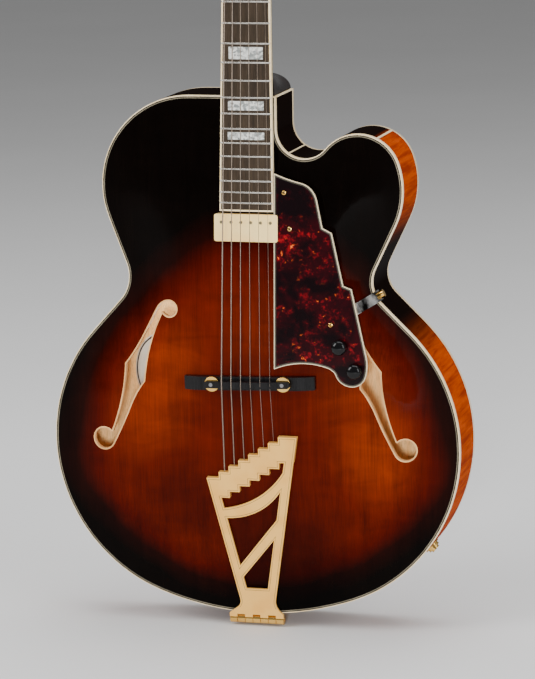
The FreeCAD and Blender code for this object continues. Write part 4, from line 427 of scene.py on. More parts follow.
@dataclass(frozen=True)
class SunburstTop(Finish):
    """Lacquered top with straight grain, amber in the middle and nearly black at the edge."""

    light: Colour = tone(108, 35, 3)
    amber: Colour = tone(80, 15, 2)
    red: Colour = tone(66, 8, 1)
    dark: Colour = tone(24, 4, 2)
    edge: Colour = tone(6, 3, 2)
    lobes: tuple[tuple[float, float, float], ...] = (
        (-92.0, 262.0, 0.75),
        (-112.0, 214.0, 0.75),
        (130.0, 180.0, 1.0),
        (112.0, 248.0, 0.7),
        (10.0, 292.0, 0.35),
    )
    lobe_fade: tuple[float, float] = (8.0, 66.0)
    lobe_squash: float = 0.8
    # Middle and fade of the painted shade at the lower left.
    shade_spot: tuple[float, float] = (-80.0, 120.0)
    shade_spot_fade: tuple[float, float] = (10.0, 62.0)
    # Strengths of the painted shade under the strings, round the tailpiece and at the lower left.
    shade_under_strings: float = 0.25
    shade_round_tailpiece: float = 1.9
    shade_lower_left: float = 1.1
    ramp_end: float = 1.4

    def lobes_and_painted_shade(self, shade: Shade) -> Wire:
        """Lighter wood in lobes, and painted shade: darker under the strings, round the tailpiece and at the
        lower left.

        Args:
            shade: The finish that is being painted.

        Returns:
            How much lighter each place is, about nought.
        """
        across, _, up = shade.axes()
        shine: Number = 0.0
        for lobe_across, lobe_up, strength in self.lobes:
            away = ((across - lobe_across) ** 2.0 + ((up - lobe_up) * self.lobe_squash) ** 2.0) ** 0.5
            shine = ((1.0 - away.ease(*self.lobe_fade)) * strength).at_least(shine)
        # Painted shade under the strings, round the tailpiece and at the lower left.
        strings = (1.0 - abs(across - 4.0).ease(14.0, 62.0)) * (1.0 - up.ease(240.0, 300.0))
        tail = (1.0 - abs(across - 30.0).ease(20.0, 100.0)) * (1.0 - up.ease(60.0, 170.0))
        away = ((across - self.shade_spot[0]) ** 2.0 + (up - self.shade_spot[1]) ** 2.0) ** 0.5
        left = 1.0 - away.ease(*self.shade_spot_fade)
        return shine - self.shade_under_strings * strings - self.shade_round_tailpiece * tail - self.shade_lower_left * left

    def paint(self, shade: Shade) -> None:
        """Burst colours, painted shade, vertical grain and gloss."""
        share = burst_share(shade)
        burst = shade.ramp(
            share / self.ramp_end,
            [(0.0, self.amber), (0.62, self.amber), (0.71, self.red), (0.79, self.dark), (0.88, self.edge)],
        )
        streaks = shade.noise((0.07, 0.07, 0.005), 3.0, 0.65)
        silk = shade.noise((0.02, 0.02, 0.05), 3.0, 0.55, 0.6)
        grain = shade.noise((1.1, 1.1, 0.012), 2.0, 0.6)
        lobes_and_painted_shade = self.lobes_and_painted_shade(shade)
        lit = lobes_and_painted_shade.at_least(0.0) * (0.3 + silk * 0.7) * (1.0 - share.ease(0.8, 1.05))
        warm = shade.blend(lit, burst, self.light)
        figure = (grain - 0.5) * 0.9 + (streaks - 0.5) * 1.2 + (silk - 0.5) * 0.7
        # The lobes lighten the colour here and the painted shade darkens it.
        figured = shade.dim(warm, (0.9 + lobes_and_painted_shade * 0.3) * (1.0 + figure).at_least(0.2))
        shade.surface(
            relief=grain,
            depth=0.002,
            Base_Color=figured,
            Roughness=0.16 + silk * 0.06,
            Coat_Weight=0.04,
            Coat_Roughness=0.03,
            Specular_IOR_Level=0.025,
        )


@dataclass(frozen=True)
class FlamedMaple(Finish):
    """Lacquered flamed maple, amber; on the back a dark burst towards the edge and a dark seam, on the sides
    painted shade towards the waist, the cutaway, the shoulders and the bottom.
    """

    amber: Colour = tone(174, 66, 4)
    brown: Colour = tone(132, 40, 3)
    burst_and_shade_colour: Colour = tone(14, 6, 4)
    burst: bool = False
    slant: float = 0.3
    # Middle and fade of the painted shade at the waist of the sides.
    waist: tuple[float, float] = (150.0, 352.0)
    waist_fade: tuple[float, float] = (35.0, 95.0)

    def paint(self, shade: Shade) -> None:
        """Flame across the grain, burst on the back, painted shade on the sides, and gloss."""
        across, _, up = shade.axes()
        if self.burst:
            slanted = up + abs(across) * self.slant
            place = shade.node("ShaderNodeCombineXYZ", inputs={"X": across, "Z": slanted}).outputs[0]
            flame = shade.noise((0.008, 1.0, 0.12), 2.0, 0.55, 0.3, place)
            ripple = shade.noise((0.02, 1.0, 0.4), 2.0, 0.6, 0.6, place)
            grain = shade.noise((0.9, 0.9, 0.02), 2.0, 0.6)
        else:
            flame = shade.noise((0.13, 0.01, 0.13), 2.0, 0.55, 0.4)
            ripple = shade.noise((0.4, 0.03, 0.4), 2.0, 0.6, 0.8)
            grain = shade.noise((0.05, 0.9, 0.05), 2.0, 0.6)
        figure = (flame * 0.7 + ripple * 0.3).ease(0.34, 0.62)
        wood = shade.blend(figure, self.brown, self.amber)
        if self.burst:
            # On the back the darkening is the burst and the seam.
            seam = 1.0 - abs(across).ease(0.15, 0.45)
            burst_and_shade = burst_share(shade).ease(0.92, 1.2).at_least(seam * 0.7)
        else:
            # On the sides the darkening is painted shade: at the concave waist, in the cutaway and shoulders,
            # and towards the bottom.
            side = abs(across)
            waist = ((side - self.waist[0]) ** 2.0 + (up - self.waist[1]) ** 2.0) ** 0.5
            notch = (1.0 - side.ease(126.0, 136.0)) * up.ease(455.0, 475.0)
            tail = 1.0 - up.ease(0.0, 60.0)
            burst_and_shade = (1.0 - waist.ease(*self.waist_fade)).at_least(notch).at_least(tail * 0.6)
        shaded = shade.blend(burst_and_shade, wood, self.burst_and_shade_colour)
        shade.surface(
            relief=grain,
            depth=0.002,
            Base_Color=shade.dim(shaded, 0.8 + grain * 0.4),
            Roughness=0.18 + ripple * 0.06,
            Coat_Weight=0.035,
            Coat_Roughness=0.03,
            Specular_IOR_Level=0.0,
        )


@dataclass(frozen=True)
class Timber(Finish):
    """Straight-grained wood with pores, raw or polished."""

    pale: Colour = tone(92, 80, 66)
    deep: Colour = tone(48, 40, 33)
    rough: float = 0.5
    coat: float = 0.0
    pore: float = 0.03
    shine: float = 0.3

    def paint(self, shade: Shade) -> None:
        """Grain along the neck, with short pores."""
        grain = shade.noise((0.6, 0.6, 0.02), 3.0, 0.6)
        pores = shade.noise((3.0, 3.0, 0.12), 2.0, 0.6).ease(0.36, 0.5)
        bands = shade.noise((0.12, 0.12, 0.008), 2.0)
        wood = shade.blend((grain * 0.6 + bands * 0.4).ease(0.3, 0.7), self.deep, self.pale)
        shade.surface(
            relief=pores * 0.7 + grain * 0.3,
            depth=self.pore,
            Base_Color=shade.dim(wood, 0.7 + pores * 0.35),
            Roughness=self.rough + (1.0 - pores) * 0.1,
            Coat_Weight=self.coat,
            Coat_Roughness=0.06,
            Specular_IOR_Level=self.shine,
        )


@dataclass(frozen=True)
class Plastic(Finish):
    """Celluloid or moulded plastic with faint clouds and a fine surface."""

    colour: Colour = tone(244, 222, 180)
    second: Colour = tone(234, 208, 160)
    rough: float = 0.28
    coat: float = 0.2
    shine: float = 0.4

    def paint(self, shade: Shade) -> None:
        """Two close colours in clouds, with handling marks in the gloss."""
        clouds = shade.noise((0.05, 0.05, 0.05), 3.0)
        marks = shade.noise((0.9, 0.9, 0.3), 3.0, 0.65)
        shade.surface(
            relief=marks,
            depth=0.002,
            Base_Color=shade.blend(clouds.ease(0.35, 0.65), self.colour, self.second),
            Roughness=self.rough + (marks - 0.5) * 0.12,
            Coat_Weight=self.coat,
            Coat_Roughness=0.1,
            Specular_IOR_Level=self.shine,
        )


@dataclass(frozen=True)
class Plies(Finish):
    """Layered edging: a cream ply outside, then grey-green, then a dark line."""

    cream: Colour = tone(232, 214, 178)
    grey: Colour = tone(68, 64, 52)
    black: Colour = tone(14, 11, 10)

    def paint(self, shade: Shade) -> None:
        """Plies by the share across the edging that the mesh carries."""
        across = shade.attribute("across")
        clouds = shade.noise((0.08, 0.08, 0.08), 3.0)
        inner = shade.blend(across.ease(0.82, 0.86), self.grey, self.black)
        layered = shade.blend(across.ease(0.24, 0.28), self.cream, inner)
        shade.surface(
            Base_Color=shade.dim(layered, 0.88 + clouds * 0.24),
            Roughness=0.26 + clouds * 0.06,
            Coat_Weight=0.2,
            Coat_Roughness=0.1,
        )


@dataclass(frozen=True)
class Tortoise(Finish):
    """Tortoise celluloid: maroon and black clouds with red and orange blotches."""

    black: Colour = tone(14, 6, 8)
    maroon: Colour = tone(38, 6, 10)
    red: Colour = tone(136, 16, 24)
    orange: Colour = tone(232, 100, 36)

    def paint(self, shade: Shade) -> None:
        """Layers of blotches under a hard gloss."""
        clouds = shade.noise((0.03, 0.03, 0.03), 3.0, 0.6, 0.4)
        blotches = shade.noise((0.12, 0.12, 0.12), 3.0, 0.6, 0.5)
        flecks = shade.noise((0.34, 0.34, 0.34), 2.0, 0.6, 0.3)
        sparks = shade.noise((0.2, 0.2, 0.2), 2.0, 0.5, 0.2)
        base = shade.blend(clouds.ease(0.38, 0.6), self.black, self.maroon)
        spread = (blotches * 0.65 + flecks * 0.35).ease(0.5, 0.72) * clouds.ease(0.4, 0.62)
        reds = shade.blend(spread, base, self.red)
        lights = sparks.ease(0.62, 0.72) * blotches.ease(0.5, 0.62) * clouds.ease(0.42, 0.58)
        shade.surface(
            Base_Color=shade.blend(lights, reds, self.orange),
            Roughness=0.1 + sparks * 0.05,
            Coat_Weight=0.1,
            Coat_Roughness=0.03,
            Specular_IOR_Level=0.08,
        )


@dataclass(frozen=True)
class Pearl(Finish):
    """Shell inlay cut in blocks, speckled grey and white."""

    white: Colour = tone(226, 226, 220)
    grey: Colour = tone(126, 130, 128)

    def paint(self, shade: Shade) -> None:
        """Flakes of shell with a sheen that differs from flake to flake."""
        distance, lot = shade.flecks((0.34, 0.34, 0.42))
        clouds = shade.noise((0.3, 0.3, 0.3), 3.0, 0.6, 1.4)
        flakes = (lot * 0.6 + clouds * 0.7 - distance * 0.15).ease(0.3, 0.85)
        shade.surface(
            Base_Color=shade.blend(flakes, self.grey, self.white),
            Roughness=0.2 + lot * 0.2,
            Metallic=0.25 * flakes,
            Coat_Weight=0.4,
            Coat_Roughness=0.08,
        )


@dataclass(frozen=True)
class Metal(Finish):
    """Plated or bare metal, rubbed in clouds of a second tone; on the chrome the clouds are painted
    reflections.
    """

    colour: Colour = tone(238, 208, 150)
    worn_and_reflected: Colour = tone(222, 186, 122)
    rough: float = 0.3
    brushed: float = 0.0
    metallic: float = 1.0
    clouding: float = 0.04
    wear_and_reflection: float = 0.7

    def paint(self, shade: Shade) -> None:
        """Clouded plating with painted reflections on the chrome, small scratches and a little handling haze.
        """
        clouds = shade.noise((self.clouding, self.clouding, self.clouding), 3.0)
        haze = shade.noise((0.25, 0.25, 0.25), 3.0, 0.6, 0.6)
        scratches = shade.noise((6.0, 6.0, 0.25), 2.0, 0.6)
        shade.surface(
            relief=scratches,
            depth=0.0006 + 0.002 * self.brushed,
            Base_Color=shade.blend(clouds.ease(0.35, 0.7) * self.wear_and_reflection, self.colour, self.worn_and_reflected),
            Metallic=self.metallic,
            Roughness=self.rough + (haze - 0.5) * 0.16,
        )


@dataclass(frozen=True)
class WoundSteel(Finish):
    """String steel with the fine ribs of its wrap."""

    colour: Colour = tone(176, 164, 152)
    tarnished: Colour = tone(150, 130, 112)
    wrap: float = 0.0
    wrap_pitch: float = 0.32
    # How dark the painted shade that bands the ribs is.
    rib_shade: float = 0.25

    def paint(self, shade: Shade) -> None:
        """Ribs along the string's own run, banded with painted shade."""
        run = shade.attribute("run") * MM_PER_METRE
        ribs = (run * (2 * math.pi / self.wrap_pitch)).sine() * 0.5 + 0.5
        tarnish = shade.noise((0.2, 0.2, 0.02), 2.0)
        steel = shade.blend(tarnish, self.colour, self.tarnished)
        shade.surface(
            relief=ribs * self.wrap,
            depth=0.05,
            Base_Color=shade.dim(steel, 1.0 - self.rib_shade * self.wrap * ribs),
            Metallic=0.9,
            Roughness=0.3 + 0.1 * tarnish,
        )


@dataclass(frozen=True)
class Paper(Finish):
    """Blank oval paper label, a little yellowed, with a printed border."""

    place: tuple[float, float] = (-123.0, 239.0)
    size: tuple[float, float] = (54.0, 80.0)

    def paint(self, shade: Shade) -> None:
        """Fibres, age and the border line."""
        across, _, up = shade.axes()
        sideways = (across - self.place[0]) / (self.size[0] / 2)
        upright = (up - self.place[1]) / (self.size[1] / 2)
        out = (sideways * sideways + upright * upright) ** 0.5
        border = out.ease(0.9, 0.92) * (1.0 - out.ease(0.95, 0.97))
        fibres = shade.noise((1.2, 1.2, 1.2), 3.0, 0.7)
        age = shade.noise((0.04, 0.04, 0.04), 2.0)
        aged = shade.blend(age, tone(226, 224, 214), tone(206, 198, 178))
        shade.surface(
            relief=fibres,
            depth=0.02,
            Base_Color=shade.dim(shade.blend(border, aged, tone(58, 54, 50)), 0.9 + fibres * 0.2),
            Roughness=0.8,
        )


@dataclass(frozen=True)
class StudioGrey(Finish):
    """Plain pale studio floor."""

    def paint(self, shade: Shade) -> None:
        """Faint unevenness."""
        clouds = shade.noise((0.002, 0.002, 0.002), 3.0)
        shade.surface(Base_Color=shade.blend(clouds, tone(226, 226, 226), tone(218, 218, 218)), Roughness=0.7)


TOP = SunburstTop("sunburst_lacquer", "sunburst_top")
SIDES = FlamedMaple("flamed_maple_sides", "flamed_maple")
BACK = FlamedMaple("flamed_maple_back", "flamed_maple", burst=True)
RAW = Timber(
    "raw_wood_inside", "raw_wood", tone(250, 208, 146), tone(238, 184, 118),
    rough=0.7, pore=0.02, shine=0.1,
)
NECK_WOOD = Timber(
    "dark_lacquered_neck", "dark_neck", tone(26, 10, 7), tone(11, 5, 4),
    rough=0.18, coat=0.06, pore=0.004, shine=0.06,
)
EBONY = Timber(
    "polished_ebony", "ebony", tone(24, 23, 24), tone(8, 7, 8),
    rough=0.26, coat=0.08, pore=0.006, shine=0.16,
)
BOARD = Timber(
    "fingerboard_wood", "fingerboard_wood", tone(64, 53, 42), tone(42, 35, 28),
    rough=0.5, pore=0.02, shine=0.12,
)
CREAM = Plastic("cream_binding_strip", "cream_binding")
HOLE_CREAM = Plastic(
    "tan_sound_hole_binding", "cream_binding", tone(216, 168, 114), tone(200, 150, 98),
    rough=0.4, coat=0.0, shine=0.1,
)
BONE = Plastic("bone_nut", "bone", tone(232, 220, 192), tone(216, 200, 164), rough=0.35)
BLACK_GLOSS = Plastic(
    "black_gloss_knob", "black_gloss", tone(5, 5, 6), tone(8, 8, 9),
    rough=0.05, coat=0.0, shine=0.28,
)
# Painted shade of a driver slot, laid on the screw's crown as a dark bar.
SLOT_SHADE = Plastic("painted_slot_shade", "black_matte", tone(34, 28, 20), tone(24, 20, 15), rough=0.6, coat=0.0)
BLACK_MATTE = Plastic(
    "black_coil_form", "black_matte", tone(20, 20, 21), tone(28, 27, 27),
    rough=0.5, coat=0.0,
)
# A dark ply of the binding, whose grey is partly painted shade of the rounded binding's inner side.
PLY_DARK_AND_SHADE = Plastic(
    "dark_ply_and_shade", "cream_binding", tone(64, 60, 52), tone(50, 46, 40),
    rough=0.4, coat=0.0, shine=0.1,
)
PLY_PALE = Plastic(
    "pale_ply", "cream_binding", tone(124, 116, 98), tone(104, 98, 82),
    rough=0.3, coat=0.0, shine=0.1,
)
GUARD_EDGE = Plies("pickguard_edging", "cream_binding")
SHELL = Tortoise("tortoise_celluloid", "tortoise")
INLAY = Pearl("pearl_block", "pearl")
GOLD = Metal("polished_gold", "gold", tone(250, 204, 114), tone(238, 178, 86), rough=0.16)
SATIN = Metal(
    "brushed_satin_gold", "satin_gold", tone(246, 190, 98), tone(236, 172, 80),
    rough=0.42, brushed=1.0, metallic=0.35,
)
COVER = Metal(
    "satin_gold_cover", "satin_gold", tone(255, 222, 150), tone(252, 208, 128),
    rough=0.34, brushed=1.0, metallic=0.1,
)
ENGRAVED = Metal(
    "engraved_line", "satin_gold", tone(118, 88, 46), tone(98, 72, 36),
    rough=0.5, metallic=0.4,
)
POLE = Metal(
    "aged_nickel_pole", "satin_gold", tone(128, 120, 92), tone(104, 96, 72),
    rough=0.4, metallic=0.5,
)
# The chrome's dark base and white second tone are painted reflections in large clouds.
CHROME = Metal(
    "chromed_bracket", "bright_chrome", tone(20, 18, 17), tone(252, 250, 246),
    rough=0.12, metallic=0.9, clouding=0.07, wear_and_reflection=1.0,
)
NICKEL = Metal("fret_nickel", "fret_silver", tone(226, 222, 214), tone(200, 196, 188), rough=0.24)
STEEL = Metal("bare_steel", "steel", tone(150, 150, 152), tone(120, 120, 124), rough=0.4)
RUBBER = Plastic("black_lead", "black_rubber", tone(22, 22, 22), tone(32, 31, 30), rough=0.6, coat=0.0)
PLAIN_STRING = WoundSteel("plain_string", "string_steel")
WRAPPED_STRING = WoundSteel("wrapped_string", "string_steel", wrap=1.0)
LABEL = Paper("blank_label", "bone")
FLOOR = StudioGrey("studio_floor", "")


# Meshes
def linked(name: str, data: bpy.types.ID) -> bpy.types.Object:
    """A new object in the scene, at the origin.

    Args:
        name: The object's name.
        data: Its mesh, curve, light or camera.

    Returns:
        The object.
    """
    made = bpy.data.objects.new(name, data)
    bpy.context.scene.collection.objects.link(made)
    return made


def finished(name: str, build: bmesh.types.BMesh) -> bpy.types.Mesh:
    """Makes a plain mesh of one under construction, and frees that.

    Args:
        name: The mesh's name.
        build: The mesh under construction.

    Returns:
        The mesh.
    """
    mesh = bpy.data.meshes.new(name)
    build.to_mesh(mesh)
    build.free()
    return mesh


def new_piece(
    name: str,
    mesh: bpy.types.Mesh,
    finish: Finish,
    body: Body | None,
    crease: float | None = CREASE_DEGREES,
) -> bpy.types.Object:
    """Puts a finished mesh on a body.

    Args:
        name: The piece's name.
        mesh: Its mesh, in place.
        finish: Its finish.
        body: The body that it moves with, or None for a piece left on no body.
        crease: The angle in degrees from which an edge is shaded sharp, or None to keep the mesh as it is.

    Returns:
        The piece.
    """
    piece = linked(name, mesh)
    mesh.materials.clear()
    mesh.materials.append(finish.material())
    if crease is not None:
        mesh.shade_smooth()
        mesh.set_sharp_from_angle(angle=math.radians(crease))
    if body is not None:
        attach(piece, body.value)
    LOG.info("piece %s on %s", name, body)
    return piece


def mesh_of(name: str, points: Iterable[Sequence[float]], faces: Iterable[Sequence[int]]) -> bpy.types.Mesh:
    """A mesh from points and faces, with its faces turned outwards.

    Args:
        name: The mesh's name.
        points: Its points in metres.
        faces: Its faces by point number.

    Returns:
        The mesh.
    """
    mesh = bpy.data.meshes.new(name)
    mesh.from_pydata([tuple(point) for point in points], [], [tuple(face) for face in faces])
    build = bmesh.new()
    build.from_mesh(mesh)
    bmesh.ops.recalc_face_normals(build, faces=build.faces)
    build.to_mesh(mesh)
    build.free()
    return mesh


def dress(finish: Finish, *names: str) -> None:
    """Gives CAD nodes a finish.

    Args:
        finish: The finish.
        names: The nodes.
    """
    for name in names:
        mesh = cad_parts[name].data
        if not mesh.materials:
            mesh.materials.append(finish.material())
        for number in range(len(mesh.materials)):
            mesh.materials[number] = finish.material()
        LOG.info("node %s in %s", name, finish.name)


def merged_copy(node: str) -> bmesh.types.BMesh:
    """A CAD node's mesh with its loose triangles joined."""
    build = bmesh.new()
    build.from_mesh(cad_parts[node].data)
    bmesh.ops.remove_doubles(build, verts=build.verts, dist=SAME_POINT)
    return build


def loose_parts(build: bmesh.types.BMesh) -> list[list[bmesh.types.BMVert]]:
    """The points of each separate part of a mesh."""
    parts = []
    seen: set[bmesh.types.BMVert] = set()
    for start in build.verts:
        if start in seen:
            continue
        seen.add(start)
        part = [start]
        for vertex in part:
            for edge in vertex.link_edges:
                other = edge.other_vert(vertex)
                if other not in seen:
                    seen.add(other)
                    part.append(other)
        parts.append(part)
    return parts


def lined(node: str, outer: Finish, inner: Finish, is_inner: Callable[[Vector, Vector], bool]) -> None:
    """Puts a copy with a second finish on some of its faces in place of a CAD node of the guitar.

    Args:
        node: The CAD node.
        outer: The finish of most faces.
        inner: The finish of the others.
        is_inner: Tells the others by middle and direction.
    """
    dress(outer, node)
    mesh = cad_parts[node].data.copy()
    piece = new_piece(node + "_lined", mesh, outer, Body.GUITAR, crease=None)
    mesh.materials.append(inner.material())
    for polygon in mesh.polygons:
        if is_inner(polygon.center, polygon.normal):
            polygon.material_index = 1
    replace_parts(piece, node)


def softened(node: str, finish: Finish, body: Body, width: float, steps: int = 2) -> bpy.types.Object:
    """A CAD node with its hard edges broken, in place of the node.

    Args:
        node: The CAD node.
        finish: Its finish.
        body: The body that it moves with.
        width: Width of the broken edges, in millimetres.
        steps: Facets in each edge.

    Returns:
        The piece.
    """
    dress(finish, node)
    build = merged_copy(node)
    bmesh.ops.dissolve_limit(
        build,
        angle_limit=math.radians(FLAT_DEGREES),
        verts=build.verts,
        edges=build.edges,
        delimit={"NORMAL"},
    )
    name = node + "_softened"
    piece = new_piece(name, finished(name, build), finish, body)
    bevel = piece.modifiers.new("broken_edges", "BEVEL")
    bevel.width = width * MM
    bevel.segments = steps
    bevel.limit_method = "ANGLE"
    bevel.angle_limit = math.radians(CREASE_DEGREES)
    bevel.harden_normals = True
    bevel.use_clamp_overlap = True
    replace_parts(piece, node)
    return piece


def edge_loops(node: str, facing: Vector) -> list[list[Vector]]:
    """The closed edges of a node's outermost large flat face in one direction, longest first.

    Args:
        node: The CAD node.
        facing: The face's direction.

    Returns:
        The loops.
    """
    same_way = 0.999
    level_step = 0.02 * MM
    large_share = 0.5
    build = merged_copy(node)
    levels: dict[int, list[bmesh.types.BMFace]] = {}
    for face in build.faces:
        if face.normal.dot(facing) > same_way:
            level = round(face.calc_center_median().dot(facing) / level_step)
            levels.setdefault(level, []).append(face)
    areas = {level: sum(face.calc_area() for face in faces) for level, faces in levels.items()}
    large = large_share * max(areas.values())
    flat = set(levels[max(level for level, area in areas.items() if area > large)])
    follow: dict[int, list[int]] = {}
    places: dict[int, Vector] = {}
    for edge in build.edges:
        if len([face for face in edge.link_faces if face in flat]) == 1:
            first, second = edge.verts
            follow.setdefault(first.index, []).append(second.index)
            follow.setdefault(second.index, []).append(first.index)
            places[first.index] = first.co.copy()
            places[second.index] = second.co.copy()
    build.free()
    loops = []
    left = set(places)
    while left:
        start = min(left)
        chain = [start]
        left.discard(start)
        while True:
            onward = [index for index in follow[chain[-1]] if index in left]
            if not onward:
                break
            chain.append(onward[0])
            left.discard(onward[0])
        loops.append([places[index] for index in chain])
    loops.sort(key=lambda loop: -sum((a - b).length for a, b in zip(loop, loop[1:])))
    return loops


def inset_loop(loop: Sequence[Vector], facing: Vector, inset: float) -> list[Vector]:
    """A closed loop moved in along its own plane.

    Args:
        loop: The loop's points.
        facing: The plane's direction.
        inset: How far in, in metres.

    Returns:
        The moved points, one for each of the loop's.
    """
    least_slant = 0.4
    turning = Vector()
    for before, after in zip(loop, list(loop[1:]) + [loop[0]]):
        turning += before.cross(after)
    sense = 1.0 if turning.dot(facing) > 0 else -1.0
    moved = []
    count = len(loop)
    for index in range(count):
        arrive = (loop[index] - loop[index - 1]).normalized()
        leave = (loop[(index + 1) % count] - loop[index]).normalized()
        inward = (facing.cross(arrive) + facing.cross(leave)).normalized() * sense
        slant = max(least_slant, inward.dot(facing.cross(leave) * sense))
        moved.append(loop[index] + inward * (inset / slant))
    return moved


def ring_mesh(name: str, section: Sequence[Sequence[Vector]]) -> bpy.types.Mesh:
    """A closed ring through matching loops, the last joined to the first.

    Args:
        name: The mesh's name.
        section: The loops round the ring's section, in order.

    Returns:
        The mesh.
    """
    count = len(section[0])
    points = [point for loop in section for point in loop]
    faces = []
    for row in range(len(section)):
        first = row * count
        second = (row + 1) % len(section) * count
        for index in range(count):
            onward = (index + 1) % count
            faces.append((first + index, first + onward, second + onward, second + index))
    return mesh_of(name, points, faces)


# Geometry Nodes
def realised(
    name: str, guide: bpy.types.Mesh, tree: bpy.types.NodeTree, values: dict[str, Any]
) -> bpy.types.Mesh:
    """Puts a guide mesh through a tree of Geometry Nodes.

    Args:
        name: The new mesh's name.
        guide: The mesh that the tree works on.
        tree: The tree.
        values: The tree's inputs, by their sockets' identifiers.

    Returns:
        A plain mesh.
    """
    holder = linked(name + "_guide", guide)
    modifier = holder.modifiers.new(tree.name, "NODES")
    modifier.node_group = tree
    for identifier, value in values.items():
        modifier[identifier] = value
    bpy.context.view_layer.update()
    ready = holder.evaluated_get(bpy.context.evaluated_depsgraph_get())
    mesh = bpy.data.meshes.new_from_object(ready)
    mesh.name = name
    bpy.data.objects.remove(holder)
    return mesh


class SweptRun:
    """Geometry Nodes that sweep an oval along the edges of a mesh."""

    def __init__(self) -> None:
        """Builds the tree once."""
        tree = bpy.data.node_groups.new("swept_run", "GeometryNodeTree")
        face = tree.interface
        face.new_socket(name="Geometry", in_out="INPUT", socket_type="NodeSocketGeometry")
        self.width = face.new_socket(name="Width", in_out="INPUT", socket_type="NodeSocketFloat")
        self.height = face.new_socket(name="Height", in_out="INPUT", socket_type="NodeSocketFloat")
        self.sides = face.new_socket(name="Sides", in_out="INPUT", socket_type="NodeSocketInt")
        self.finish = face.new_socket(name="Finish", in_out="INPUT", socket_type="NodeSocketMaterial")
        face.new_socket(name="Geometry", in_out="OUTPUT", socket_type="NodeSocketGeometry")
        graph = Graph(tree)
        entry = graph.node("NodeGroupInput").outputs
        curve = graph.node("GeometryNodeMeshToCurve", inputs={"Mesh": entry["Geometry"]})
        upright = graph.node("GeometryNodeSetCurveNormal", {"mode": "Z_UP"}, {"Curve": curve.outputs[0]})
        length = graph.node("GeometryNodeSplineParameter")
        marked = graph.node(
            "GeometryNodeStoreNamedAttribute",
            {"data_type": "FLOAT", "domain": "POINT"},
            {"Geometry": upright.outputs[0], "Name": "run", "Value": length.outputs["Length"]},
        )
        circle = graph.node(
            "GeometryNodeCurvePrimitiveCircle", inputs={"Resolution": entry["Sides"], "Radius": 0.5}
        )
        size = graph.node(
            "ShaderNodeCombineXYZ", inputs={"X": entry["Width"], "Y": entry["Height"], "Z": 1.0}
        )
        oval = graph.node(
            "GeometryNodeTransform", inputs={"Geometry": circle.outputs[0], "Scale": size.outputs[0]}
        )
        swept = graph.node(
            "GeometryNodeCurveToMesh",
            inputs={"Curve": marked.outputs[0], "Profile Curve": oval.outputs[0], "Fill Caps": True},
        )
        real = graph.node("GeometryNodeRealizeInstances", inputs={0: swept.outputs[0]})
        dressed = graph.node(
            "GeometryNodeSetMaterial", inputs={"Geometry": real.outputs[0], "Material": entry["Finish"]}
        )
        graph.node("NodeGroupOutput", inputs={0: dressed.outputs[0]})
        self.tree = tree

    def mesh(
        self,
        name: str,
        runs: Sequence[Sequence[Vector]],
        width: float,
        height: float,
        finish: Finish,
        sides: int,
    ) -> bpy.types.Mesh:
        """Sweeps the oval along open runs of points.

        Args:
            name: The mesh's name.
            runs: The runs, in metres.
            width: The oval's width in millimetres.
            height: The oval's height in millimetres.
            finish: The finish.
            sides: Facets round the oval.

        Returns:
            A plain mesh.
        """
        points: list[Vector] = []
        edges: list[tuple[int, int]] = []
        for run in runs:
            start = len(points)
            points += list(run)
            edges += [(number, number + 1) for number in range(start, start + len(run) - 1)]
        guide = bpy.data.meshes.new(name + "_guide")
        guide.from_pydata([tuple(point) for point in points], edges, [])
        inputs = {
            self.width.identifier: width * MM,
            self.height.identifier: height * MM,
            self.sides.identifier: sides,
            self.finish.identifier: finish.material(),
        }
        return realised(name, guide, self.tree, inputs)


